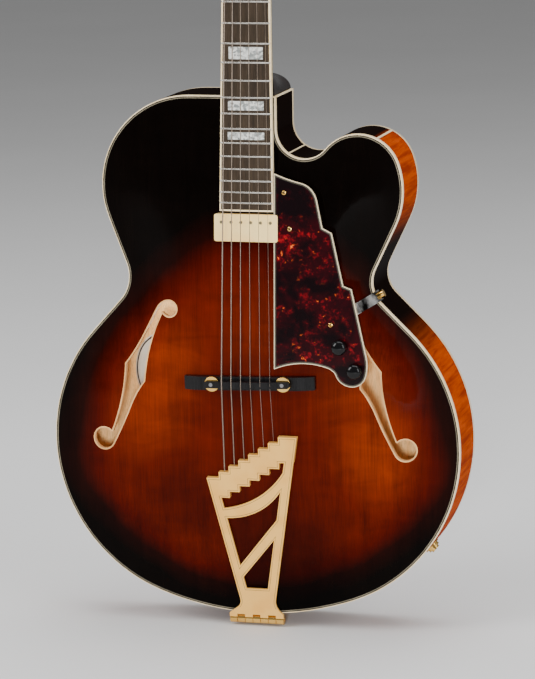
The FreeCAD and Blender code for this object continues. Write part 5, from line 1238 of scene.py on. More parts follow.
class SetInPlace:
    """Geometry Nodes that set one small piece on every point, square to the point's own direction."""

    def __init__(self) -> None:
        """Builds the tree once."""
        tree = bpy.data.node_groups.new("set_in_place", "GeometryNodeTree")
        face = tree.interface
        face.new_socket(name="Geometry", in_out="INPUT", socket_type="NodeSocketGeometry")
        self.pattern = face.new_socket(name="Pattern", in_out="INPUT", socket_type="NodeSocketObject")
        self.finish = face.new_socket(name="Finish", in_out="INPUT", socket_type="NodeSocketMaterial")
        face.new_socket(name="Geometry", in_out="OUTPUT", socket_type="NodeSocketGeometry")
        graph = Graph(tree)
        entry = graph.node("NodeGroupInput").outputs
        pattern = graph.node("GeometryNodeObjectInfo", inputs={"Object": entry["Pattern"]})
        facing, along = (
            graph.node("GeometryNodeInputNamedAttribute", {"data_type": "FLOAT_VECTOR"}, {"Name": label})
            for label in ("facing", "along")
        )
        raised = graph.node(
            "FunctionNodeAxesToRotation",
            {"primary_axis": "Z", "secondary_axis": "X"},
            {"Primary Axis": facing.outputs[0], "Secondary Axis": along.outputs[0]},
        )
        placed = graph.node(
            "GeometryNodeInstanceOnPoints",
            inputs={
                "Points": entry["Geometry"],
                "Instance": pattern.outputs["Geometry"],
                "Rotation": raised.outputs[0],
            },
        )
        real = graph.node("GeometryNodeRealizeInstances", inputs={0: placed.outputs[0]})
        dressed = graph.node(
            "GeometryNodeSetMaterial", inputs={"Geometry": real.outputs[0], "Material": entry["Finish"]}
        )
        graph.node("NodeGroupOutput", inputs={0: dressed.outputs[0]})
        self.tree = tree

    def mesh(
        self, name: str, seats: Sequence[Seat], pattern: bpy.types.Mesh, finish: Finish
    ) -> bpy.types.Mesh:
        """Sets the pattern on every seat.

        Args:
            name: The mesh's name.
            seats: Place, direction and lengthwise direction of each.
            pattern: The small piece, standing along Z.
            finish: The finish.

        Returns:
            A plain mesh.
        """
        guide = bpy.data.meshes.new(name + "_guide")
        guide.from_pydata([tuple(place) for place, _, _ in seats], [], [])
        for label, which in (("facing", 1), ("along", 2)):
            values = guide.attributes.new(label, "FLOAT_VECTOR", "POINT")
            for number, seat in enumerate(seats):
                values.data[number].vector = seat[which]
        model = linked(name + "_pattern", pattern)
        inputs = {self.pattern.identifier: model, self.finish.identifier: finish.material()}
        mesh = realised(name, guide, self.tree, inputs)
        bpy.data.objects.remove(model)
        return mesh


def knurl_seats(middle: Vector, axis: Vector, radius: float, teeth: int) -> list[Seat]:
    """Seats for the teeth of a knurl round a wheel.

    Args:
        middle: The wheel's middle, in metres.
        axis: Its axis.
        radius: Its radius, in metres.
        teeth: How many teeth.

    Returns:
        Place, direction and lengthwise direction of each tooth.
    """
    across = axis.orthogonal().normalized()
    seats = []
    for tooth in range(teeth):
        outward = Matrix.Rotation(2 * math.pi * tooth / teeth, 3, axis) @ across
        seats.append((middle + outward * radius, outward, axis))
    return seats


def block_mesh(name: str, size: tuple[float, float, float], base: float = 0.0) -> bpy.types.Mesh:
    """A small block standing along Z.

    Args:
        name: The mesh's name.
        size: Its length along X, Y and Z in millimetres.
        base: Where it starts along Z.

    Returns:
        The mesh.
    """
    build = bmesh.new()
    bmesh.ops.create_cube(build, size=1.0)
    for vertex in build.verts:
        along, across, up = vertex.co
        vertex.co = Vector((along * size[0], across * size[1], base + (up + 0.5) * size[2])) * MM
    return finished(name, build)


def knurl_tooth(length: float) -> bpy.types.Mesh:
    """One tooth of a knurl, with its root sunk into the wheel.

    Args:
        length: Its length along the wheel's axis, in millimetres.

    Returns:
        The mesh.
    """
    width, height, root = 0.5, 0.3, 0.1
    return block_mesh("tooth", (length, width, height), -root)


def disc_mesh(name: str, radius: float, height: float, base: float = 0.0, sides: int = 24) -> bpy.types.Mesh:
    """A small disc standing along Z.

    Args:
        name: The mesh's name.
        radius: Its radius in millimetres.
        height: Its height.
        base: Where it starts along Z.
        sides: Facets round it.

    Returns:
        The mesh.
    """
    build = bmesh.new()
    bmesh.ops.create_cone(
        build, cap_ends=True, segments=sides, radius1=radius * MM, radius2=radius * MM, depth=height * MM
    )
    for vertex in build.verts:
        vertex.co.z += (base + height / 2) * MM
    return finished(name, build)


def route_curve(name: str, route: Sequence[Vector]) -> bpy.types.Curve:
    """A smooth line with a route's points as its control points.

    Args:
        name: The curve's name.
        route: The points in metres.

    Returns:
        The curve.
    """
    curve = bpy.data.curves.new(name, "CURVE")
    curve.dimensions = "3D"
    curve.resolution_u = 8
    spline = curve.splines.new("NURBS")
    spline.points.add(len(route) - 1)
    for point, place in zip(spline.points, route):
        point.co = (*place, 1.0)
    spline.order_u = 3
    spline.use_endpoint_u = True
    return curve


def route_line(name: str, route: Sequence[Vector]) -> list[Vector]:
    """The points that Blender reads along a route's smooth line.

    Args:
        name: A name for the line.
        route: The points in metres.

    Returns:
        The line's points in metres.
    """
    curve = route_curve(name, route)
    holder = linked(name, curve)
    bpy.context.view_layer.update()
    mesh = bpy.data.meshes.new_from_object(holder)
    line = [vertex.co.copy() for vertex in mesh.vertices]
    bpy.data.objects.remove(holder)
    bpy.data.curves.remove(curve)
    bpy.data.meshes.remove(mesh)
    return line


# Sub-assemblies
@dataclass
class Layout:
    """Sizes of the guitar that several sub-assemblies share, in millimetres and degrees."""

    body_length: float = 541.0
    half_depth: float = 38.0
    scale_length: float = 648.0
    join_fret: int = 14
    last_fret: int = 22
    neck_angle: float = 2.8
    head_angle: float = 14.0
    board_rise: float = 13.7
    board_radius: float = 305.0
    nut_width: float = 43.0
    end_width: float = 56.5
    end_margin: float = 8.5
    nut_length: float = 4.6
    overlay: float = 2.0
    head_step: float = 0.5
    action: float = 5.1
    string_rise: float = 1.5
    setback: float = 3.7
    slant: float = 1.46
    tail_rise: float = 4.0
    tail_slope: float = 6.28
    guard_drop: float = 3.0

    def fret_distance(self, fret: int) -> float:
        """How far a fret lies from the nut."""
        return self.scale_length * (1 - 2 ** (-fret / 12))

    def camber(self, across: float) -> float:
        """How far the fingerboard's round top falls away from its middle."""
        return self.board_radius - math.sqrt(self.board_radius**2 - across**2)

    def board_half(self, distance: float) -> float:
        """Half the fingerboard's width at a distance from the nut."""
        length = self.fret_distance(self.last_fret) + self.end_margin
        return (self.nut_width + (self.end_width - self.nut_width) * distance / length) / 2

    @property
    def nut(self) -> Vector:
        """The middle of the nut's front edge."""
        tilt = math.radians(self.neck_angle)
        rise = self.fret_distance(self.join_fret) * math.cos(tilt)
        depth = -self.half_depth - self.board_rise + rise * math.tan(tilt)
        return Vector((0, depth, self.body_length + rise))

    @property
    def bridge_height(self) -> float:
        """The height of the bridge line."""
        return self.nut.z - self.scale_length

    @property
    def crest(self) -> float:
        """The depth of the saddle's crest."""
        drop = self.scale_length * math.tan(math.radians(self.neck_angle))
        return self.nut.y - drop - self.action

    @staticmethod
    def turned(place: Vector, angle: float, axis: str) -> Matrix:
        """A place in metres, turned about one axis in degrees."""
        return Matrix.Translation(place * MM) @ Matrix.Rotation(math.radians(angle), 4, axis)

    @property
    def neck_frame(self) -> Matrix:
        """The frame of the neck, at the nut."""
        return self.turned(self.nut, -self.neck_angle, "X")

    @property
    def head_frame(self) -> Matrix:
        """The frame of the headstock."""
        step = Vector((0, self.overlay + self.head_step, self.nut_length))
        return self.neck_frame @ self.turned(step, -self.head_angle, "X")

    @property
    def bridge_frame(self) -> Matrix:
        """The frame of the bridge."""
        return self.turned(Vector((0, 0, self.bridge_height - self.setback)), -self.slant, "Y")

    @property
    def tail_frame(self) -> Matrix:
        """The frame of the tailpiece."""
        return self.turned(Vector((0, -self.half_depth - self.tail_rise, 0)), self.tail_slope, "X")

    @property
    def guard_frame(self) -> Matrix:
        """The frame of the pickguard, level with the strings."""
        fall = self.nut.y - self.string_rise - self.crest
        tilt = math.degrees(math.atan2(fall, self.scale_length))
        return self.turned(Vector((0, self.crest + self.guard_drop, self.bridge_height)), -tilt, "X")


@dataclass
class SoundBox:
    """Arched plates, bent sides and their bound edges."""

    layout: Layout
    binding: float = 2.2
    plate: float = 6.0
    rounding: float = 0.6
    # Width of the dark ply, which also carries the painted shade of the binding's inner side.
    dark_ply_and_shade: float = 1.3
    pale_ply: float = 0.7
    pale_depth: float = 0.4
    pale_rounding: float = 0.05
    proud: float = 0.05
    strips: tuple[tuple[float, float], ...] = ((132.0, 499.0), (36.6, 481.6), (27.0, 537.5))
    strip_width: float = 2.4
    strip_overlap: float = 0.2
    strip_depth: float = 0.8
    probe: float = 4.0
    lining_slope: float = 0.2
    paper: float = 0.1
    paper_gap: float = 0.12
    label_grid: tuple[int, int] = (13, 9)

    def build(self) -> None:
        """Dresses the wood and lays the edging."""
        outline = edge_loops("body_binding", Vector((0, -1, 0)))[0]
        lined("top_plate", TOP, RAW, lambda middle, facing: facing.y > self.lining_slope)
        lined("back_plate", BACK, RAW, lambda middle, facing: facing.y < -self.lining_slope)
        reach = self.probe * MM
        for side in ("rim_bass", "rim_treble"):
            lined(side, SIDES, RAW, lambda middle, facing: self.inside(middle + facing * reach, outline))
        dress(CREAM, "body_binding")
        dress(RAW, "neck_block", "tail_block", "rim_linings", "tone_bars")
        dress(HOLE_CREAM, "f_hole_bindings")
        self.edging()
        self.rim_strips()
        self.label()

    def edging(self) -> None:
        """Rounded cream binding on both edges, with a dark ply and a pale one inside each; the dark ply's
        wide grey is partly painted shade of the binding's inner side.
        """
        cream = self.binding - self.dark_ply_and_shade
        pale = self.binding + self.pale_ply
        sides = (Vector((0, -1, 0)), Vector((0, 1, 0)))
        outlines = [edge_loops("body_binding", facing)[0] for facing in sides]
        for name, finish, strip in (
            ("bound_edges", CREAM, (0.0, cream, self.plate, self.rounding, 0.0)),
            ("dark_plies", PLY_DARK_AND_SHADE, (cream, self.binding, self.plate, 0.0, 0.0)),
            ("pale_plies", PLY_PALE, (self.binding, pale, self.pale_depth, self.pale_rounding, self.proud)),
        ):
            joined = bmesh.new()
            for facing, outer in zip(sides, outlines):
                joined.from_mesh(self.bound_edge(outer, facing, *strip))
            piece = new_piece(name, finished(name, joined), finish, Body.GUITAR)
            if finish is not PLY_PALE:
                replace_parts(piece, "body_binding")

    def bound_edge(
        self,
        outer: list[Vector],
        facing: Vector,
        start: float,
        end: float,
        depth: float,
        rounding: float,
        proud: float,
    ) -> bpy.types.Mesh:
        """A strip laid along the body's outline.

        Args:
            outer: The outline.
            facing: Which way the plate faces.
            start: How far in the strip starts, in millimetres.
            end: How far in it ends.
            depth: How deep it goes.
            rounding: Radius of its outer corner.
            proud: How far it stands out of the plate.

        Returns:
            The strip's mesh.
        """
        section = [(start, -depth), (start, proud - rounding), (end, proud), (end, -depth)]
        if rounding:
            section[2:2] = [(start + rounding * 0.3, proud - rounding * 0.3), (start + rounding, proud)]
        loops = []
        for inset, lift in section:
            moved = inset_loop(outer, facing, inset * MM) if inset else list(outer)
            loops.append([point + facing * (lift * MM) for point in moved])
        return ring_mesh("bound_edge", loops)

    def rim_strips(self) -> None:
        """Cream strips across the side where its bent pieces meet."""
        outer = edge_loops("body_binding", Vector((0, -1, 0)))[0]
        half = (self.layout.half_depth - self.plate + self.strip_overlap) * MM
        points = []
        faces = []
        for across, up in self.strips:
            spot = Vector((across * MM, -self.layout.half_depth * MM, up * MM))
            index = min(range(len(outer)), key=lambda number: (outer[number] - spot).length)
            after = outer[(index + 1) % len(outer)]
            along = (after - outer[index - 1]).normalized()
            outward = Vector((along.z, 0, -along.x))
            probe = outer[index] + outward * (self.probe * MM)
            if self.inside(probe, outer):
                outward = -outward
            middle = Vector((outer[index].x, 0, outer[index].z))
            first = len(points)
            for depth in (-half, half):
                for lift in (-self.strip_depth * MM, self.proud * MM):
                    for sway in (-0.5, 0.5):
                        spread = along * (sway * self.strip_width * MM)
                        points.append(middle + spread + outward * lift + Vector((0, depth, 0)))
            for face in ((0, 1, 3, 2), (4, 6, 7, 5), (0, 4, 5, 1), (2, 3, 7, 6), (0, 2, 6, 4), (1, 5, 7, 3)):
                faces.append(tuple(first + corner for corner in face))
        new_piece("rim_strips", mesh_of("rim_strips", points, faces), CREAM, Body.GUITAR)

    @staticmethod
    def inside(spot: Vector, loop: Sequence[Vector]) -> bool:
        """True where a place lies inside a loop, seen from the front."""
        hit = False
        before = loop[-1]
        for after in loop:
            if (after.z > spot.z) != (before.z > spot.z):
                reach = (before.x - after.x) * (spot.z - after.z) / (before.z - after.z) + after.x
                hit = hit != (spot.x < reach)
            before = after
        return hit

    def label(self) -> None:
        """A blank paper label on the inside of the back, under the bass sound hole."""
        build = merged_copy("back_plate")
        inner = BVHTree.FromBMesh(build)
        build.free()
        rows, columns = self.label_grid
        points = []
        for row in range(rows):
            for column in range(columns):
                across = (column / (columns - 1) - 0.5) * 2
                upright = (row / (rows - 1) - 0.5) * 2
                round_x = across * math.sqrt(1 - upright**2 / 2)
                round_z = upright * math.sqrt(1 - across**2 / 2)
                x = (LABEL.place[0] + round_x * LABEL.size[0] / 2) * MM
                z = (LABEL.place[1] + round_z * LABEL.size[1] / 2) * MM
                hit = inner.ray_cast(Vector((x, 0, z)), Vector((0, 1, 0)))[0]
                points.append(hit - Vector((0, self.paper_gap * MM, 0)))
        faces = []
        for row in range(rows - 1):
            for column in range(columns - 1):
                corner = row * columns + column
                faces.append((corner, corner + 1, corner + columns + 1, corner + columns))
        mesh = mesh_of("blank_label", points, faces)
        piece = new_piece("blank_label", mesh, LABEL, Body.GUITAR)
        wall = piece.modifiers.new("paper", "SOLIDIFY")
        wall.thickness = self.paper * MM


@dataclass
class NeckAndBoard:
    """Neck, fingerboard, frets, inlays and nut."""

    layout: Layout
    sweep: SweptRun
    fret_width: float = 2.2
    fret_crown: float = 1.0
    fret_inset: float = 0.5
    fret_steps: int = 12
    fret_sides: int = 14
    nut_rounding: float = 0.4

    def build(self) -> None:
        """Dresses the wood and lays round frets."""
        dress(NECK_WOOD, "neck")
        dress(EBONY, "heel_cap")
        dress(BOARD, "fingerboard")
        dress(CREAM, "fingerboard_binding")
        dress(INLAY, "block_inlays")
        dress(STEEL, "truss_rod")
        softened("nut", BONE, Body.GUITAR, self.nut_rounding)
        self.frets()

    def frets(self) -> None:
        """Half-round fret wire across the cambered board."""
        runs = []
        for fret in range(1, self.layout.last_fret + 1):
            distance = self.layout.fret_distance(fret)
            half = self.layout.board_half(distance) - self.fret_inset
            run = []
            for step in range(self.fret_steps + 1):
                across = half * (2 * step / self.fret_steps - 1)
                spot = Vector((across, self.layout.camber(across), -distance))
                run.append(self.layout.neck_frame @ (spot * MM))
            runs.append(run)
        height = 2 * self.fret_crown
        mesh = self.sweep.mesh("fret_wire", runs, self.fret_width, height, NICKEL, self.fret_sides)
        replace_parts(new_piece("fret_wire", mesh, NICKEL, Body.GUITAR), "frets")


@dataclass
class Headstock:
    """Headstock face, truss rod cover and tuning machines."""

    cover_rounding: float = 0.5
    housing_rounding: float = 0.7

    def build(self) -> None:
        """Dresses the head and its machines."""
        dress(EBONY, "headstock_overlay")
        softened("truss_rod_cover", BLACK_GLOSS, Body.GUITAR, self.cover_rounding)
        softened("tuner_housings", GOLD, Body.GUITAR, self.housing_rounding, 3)
        dress(GOLD, "tuner_bushings")
        for number in range(1, STRING_COUNT + 1):
            dress(GOLD, f"tuner_post_{number}", f"tuner_button_{number}")


@dataclass
class Strings:
    """Six strings from the tailpiece over saddle and nut to their turns round the posts."""

    layout: Layout
    sweep: SweptRun
    diameters: tuple[float, ...] = (0.31, 0.42, 0.62, 0.82, 1.07, 1.32)
    wrapped_from: int = 3
    nut_spacing: float = 7.2
    bridge_spacing: float = 10.2
    seat: float = 0.1
    near_edge: float = 2.0
    middle: float = 0.7
    tuner_first: float = 44.0
    tuner_spacing: float = 38.0
    row_spacing: float = 42.0
    post: float = 6.0
    post_height: float = 16.0
    post_gap: float = 0.3
    turn_gap: float = 0.45
    turns: int = 3
    step_run: float = 10.8
    step_rise: float = 6.75
    first_step: float = 148.0
    stairs_left: float = 33.5
    band_height: float = 27.75
    band_thickness: float = 6.0
    anchor_height: float = 0.35
    anchor_depth: float = 0.6
    winding_level: float = 0.52
    turn_steps: int = 16
    sides: int = 10

    def build(self) -> None:
        """Sweeps each string, in three runs that follow tailpiece, saddle and nut."""
        for number in range(1, STRING_COUNT + 1):
            finish = WRAPPED_STRING if number >= self.wrapped_from else PLAIN_STRING
            width = self.diameters[number - 1]
            anchor, saddle, nut = self.supports(number)
            middle = anchor.lerp(saddle, self.middle)
            for name, first, second, start, end, route in (
                ("tail", Body.TAILPIECE, Body.GUITAR, anchor, middle, [anchor, middle]),
                ("bridge", Body.GUITAR, Body.SADDLE, middle, saddle, [middle, saddle]),
                ("speaking", Body.SADDLE, Body.GUITAR, saddle, nut, self.speaking(number, saddle, nut)),
            ):
                line = route_line(name, route)
                label = f"string_{number}_{name}_run"
                mesh = self.sweep.mesh(label, [line], width, width, finish, self.sides)
                piece = new_piece(label, mesh, finish, None)
                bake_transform(piece)
                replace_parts(piece, f"string_{number}")

    def supports(self, number: int) -> tuple[Vector, Vector, Vector]:
        """Where one string is held: in the tailpiece, on the saddle and on the nut.

        Args:
            number: The string, thinnest first.

        Returns:
            The three places, in metres.
        """
        layout = self.layout
        radius = self.diameters[number - 1] / 2
        step = STRING_COUNT - number
        from_middle = (STRING_COUNT + 1) / 2 - number
        tread = (step + 0.5) * self.step_run - self.stairs_left
        height = self.first_step + (step + 1) * self.step_rise - self.band_height * self.anchor_height
        depth = self.band_thickness * self.anchor_depth
        anchor = layout.tail_frame @ (Vector((tread, depth, height)) * MM)
        across = from_middle * self.bridge_spacing
        crest = layout.crest + layout.camber(across) - radius - self.seat
        saddle = layout.bridge_frame @ (Vector((across, crest, 0)) * MM)
        across = from_middle * self.nut_spacing
        rise = layout.camber(across) - layout.string_rise - radius - self.seat
        nut = layout.neck_frame @ (Vector((across, rise, layout.nut_length / 2)) * MM)
        return anchor, saddle, nut

    def speaking(self, number: int, saddle: Vector, nut: Vector) -> list[Vector]:
        """The control points from the saddle over the nut to the end of the turns.

        Args:
            number: The string, thinnest first.
            saddle: Its place on the saddle, in metres.
            nut: Its place on the nut.

        Returns:
            The points, in metres.
        """
        turns = self.winding(number, nut, self.diameters[number - 1] / 2)
        before = nut + (saddle - nut).normalized() * self.near_edge * MM
        after = nut + (turns[0] - nut).normalized() * self.near_edge * MM
        return [saddle, before, nut, after] + turns

    def winding(self, number: int, nut: Vector, radius: float) -> list[Vector]:
        """The turns of one string round its post.

        Args:
            number: The string, thinnest first.
            nut: Where it leaves the nut, in metres.
            radius: Half its thickness in millimetres.

        Returns:
            The points of its turns, in metres.
        """
        head = self.layout.head_frame
        side = 1 if number <= STRING_COUNT // 2 else -1
        across = side * self.row_spacing / 2
        row = number - 1 if side > 0 else STRING_COUNT - number
        height = self.tuner_first + self.tuner_spacing * row
        ring = self.post / 2 + self.post_gap + radius
        local = (head.inverted() @ nut) / MM
        reach = math.hypot(across - local.x, height - local.z)
        angle = math.atan2(height - local.z, across - local.x) + side * math.asin(ring / reach)
        length = math.sqrt(reach**2 - ring**2)
        touch_x = local.x + length * math.cos(angle)
        touch_z = local.z + length * math.sin(angle)
        begin = math.atan2(touch_z - height, touch_x - across)
        level = -self.layout.overlay - self.post_height * self.winding_level
        pitch = 2 * radius + self.turn_gap
        points = []
        for step in range(self.turns * self.turn_steps + 1):
            turn = begin - side * 2 * math.pi * step / self.turn_steps
            depth = level + pitch * step / self.turn_steps
            spot = Vector((across + ring * math.cos(turn), depth, height + ring * math.sin(turn)))
            points.append(head @ (spot * MM))
        return points


@dataclass
class Bridge:
    """Ebony base and saddle on two studs with thumbwheels."""

    setter: SetInPlace
    teeth: int = 40
    tooth_margin: float = 0.7
    base_rounding: float = 0.5
    saddle_rounding: float = 0.3
    wheel_rounding: float = 0.3

    def build(self) -> None:
        """Dresses the bridge and knurls its wheels."""
        softened("bridge_base", EBONY, Body.GUITAR, self.base_rounding)
        softened("bridge_saddle", EBONY, Body.SADDLE, self.saddle_rounding)
        dress(STEEL, "bridge_studs")
        for node, body in (("thumbwheel_bass", Body.WHEEL_BASS), ("thumbwheel_treble", Body.WHEEL_TREBLE)):
            softened(node, GOLD, body, self.wheel_rounding)
            low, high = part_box(node)
            seats = knurl_seats((low + high) / 2, Vector((0, -1, 0)), (high.x - low.x) / 2, self.teeth)
            tooth = knurl_tooth((high.y - low.y) / MM - self.tooth_margin)
            new_piece(node + "_knurl", self.setter.mesh(node + "_knurl", seats, tooth, GOLD), GOLD, body)


@dataclass
class Tailpiece:
    """Stepped plate on a hinge, with a line engraved along its edges."""

    layout: Layout
    line_inset: float = 1.5
    line_width: float = 0.4
    line_height: float = 0.02
    line_root: float = 0.3
    line_foot: float = 6.0
    hinge_top: float = -1.2
    plate_rounding: float = 0.5
    hinge_rounding: float = 0.4

    def build(self) -> None:
        """Dresses the tailpiece."""
        plate = softened("tailpiece_frame", SATIN, Body.TAILPIECE, self.plate_rounding)
        plate.data.materials.append(GOLD.material())
        for polygon in plate.data.polygons:
            if polygon.center.z < self.hinge_top * MM:
                polygon.material_index = 1
        softened("tailpiece_bracket", GOLD, Body.GUITAR, self.hinge_rounding)
        dress(GOLD, "tailpiece_hinge_pin")
        self.engraving()

    def engraving(self) -> None:
        """A fine line inside the edges of the plate's face, above the height of its foot."""
        facing = (self.layout.tail_frame.to_3x3() @ Vector((0, -1, 0))).normalized()
        near, far = self.line_inset, self.line_inset + self.line_width
        root, top = -self.line_root, self.line_height
        joined = bmesh.new()
        for number, loop in enumerate(edge_loops("tailpiece_frame", facing)):
            sense = 1.0 if number == 0 else -1.0
            loops = []
            for inset, lift in ((near, root), (near, top), (far, top), (far, root)):
                moved = inset_loop(loop, facing, sense * inset * MM)
                loops.append([point + facing * (lift * MM) for point in moved])
            if max(point.z for point in loop) > self.line_foot * MM:
                joined.from_mesh(ring_mesh("line", loops))
        low = [vertex for vertex in joined.verts if vertex.co.z < self.line_foot * MM]
        bmesh.ops.delete(joined, geom=low, context="VERTS")
        bmesh.ops.holes_fill(joined, edges=joined.edges, sides=4)
        new_piece("engraved_line", finished("engraved_line", joined), ENGRAVED, Body.TAILPIECE)


@dataclass
class GuardAndControls:
    """Pickguard with layered edging, knobs, potentiometers and brackets."""

    layout: Layout
    knob: float = 15.4
    knob_height: float = 12.0
    knob_crown: float = 5.0
    knob_inset: float = 0.1
    knob_edge: float = 0.4
    spindle: float = 4.2
    knob_sides: int = 64
    dome_steps: int = 14
    dome_power: float = 0.87
    touching: float = 0.2
    bracket_rounding: float = 0.3

    def build(self) -> None:
        """Dresses the guard and its controls."""
        dress(SHELL, "pickguard")
        self.edging()
        self.turned_knob("knob_volume", Body.VOLUME)
        self.turned_knob("knob_tone", Body.TONE)
        dress(STEEL, "potentiometers")
        softened("pickguard_bracket", CHROME, Body.GUITAR, self.bracket_rounding)

    def turned_knob(self, node: str, body: Body) -> None:
        """A smoothly domed knob on its spindle, in place of a CAD one.

        Args:
            node: The CAD knob.
            body: The body that it moves with.
        """
        dress(BLACK_GLOSS, node)
        frame_in = self.layout.guard_frame.inverted()
        points = [frame_in @ vertex.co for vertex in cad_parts[node].data.vertices]
        sideways = [point.x for point in points]
        upright = [point.z for point in points]
        middle = Vector((min(sideways) + max(sideways), 0, min(upright) + max(upright))) / 2
        rises = [-point.y / MM for point in points]
        foot = max(rises) - self.knob_height
        skirt = foot + self.knob_height - self.knob_crown - self.knob_inset
        profile = [
            (0.0, min(rises)),
            (self.spindle / 2, min(rises)),
            (self.spindle / 2, foot),
            (self.knob / 2 - self.knob_edge, foot),
            (self.knob / 2, foot + self.knob_edge),
        ]
        for step in range(self.dome_steps + 1):
            turn = math.pi / 2 * step / self.dome_steps
            out = self.knob / 2 * max(0.0, math.cos(turn)) ** self.dome_power
            profile.append((out, skirt + self.knob_crown * math.sin(turn) ** self.dome_power))
        rings = []
        for out, rise in profile:
            for side in range(self.knob_sides):
                turn = 2 * math.pi * side / self.knob_sides
                spot = Vector((out * math.cos(turn), -rise, out * math.sin(turn))) * MM
                rings.append(self.layout.guard_frame @ (spot + middle))
        faces = []
        for row in range(len(profile) - 1):
            for side in range(self.knob_sides):
                after = (side + 1) % self.knob_sides
                first, second = row * self.knob_sides, (row + 1) * self.knob_sides
                faces.append((first + side, first + after, second + after, second + side))
        build = bmesh.new()
        build.from_mesh(mesh_of(node + "_turned", rings, faces))
        bmesh.ops.remove_doubles(build, verts=build.verts, dist=SAME_POLE)
        mesh = finished(node + "_turned", build)
        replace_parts(new_piece(node + "_turned", mesh, BLACK_GLOSS, body), node)

    def edging(self) -> None:
        """The guard's edging, whose mesh says how far across each point lies."""
        build = merged_copy("pickguard")
        core = BVHTree.FromBMesh(build)
        build.free()
        mesh = finished("layered_edging", merged_copy("pickguard_binding"))
        across = mesh.attributes.new("across", "FLOAT", "POINT")
        for number, vertex in enumerate(mesh.vertices):
            gap = core.find_nearest(vertex.co)[3]
            across.data[number].value = 1.0 if gap < self.touching * MM else 0.0
        piece = new_piece("layered_edging", mesh, GUARD_EDGE, Body.GUITAR)
        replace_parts(piece, "pickguard_binding")


@dataclass
class Pickup:
    """Floating pickup with a drawn cover."""

    cover_rounding: float = 0.8

    def build(self) -> None:
        """Dresses the pickup."""
        softened("pickup_cover", COVER, Body.GUITAR, self.cover_rounding, 3)
        dress(BLACK_MATTE, "pickup_coils")


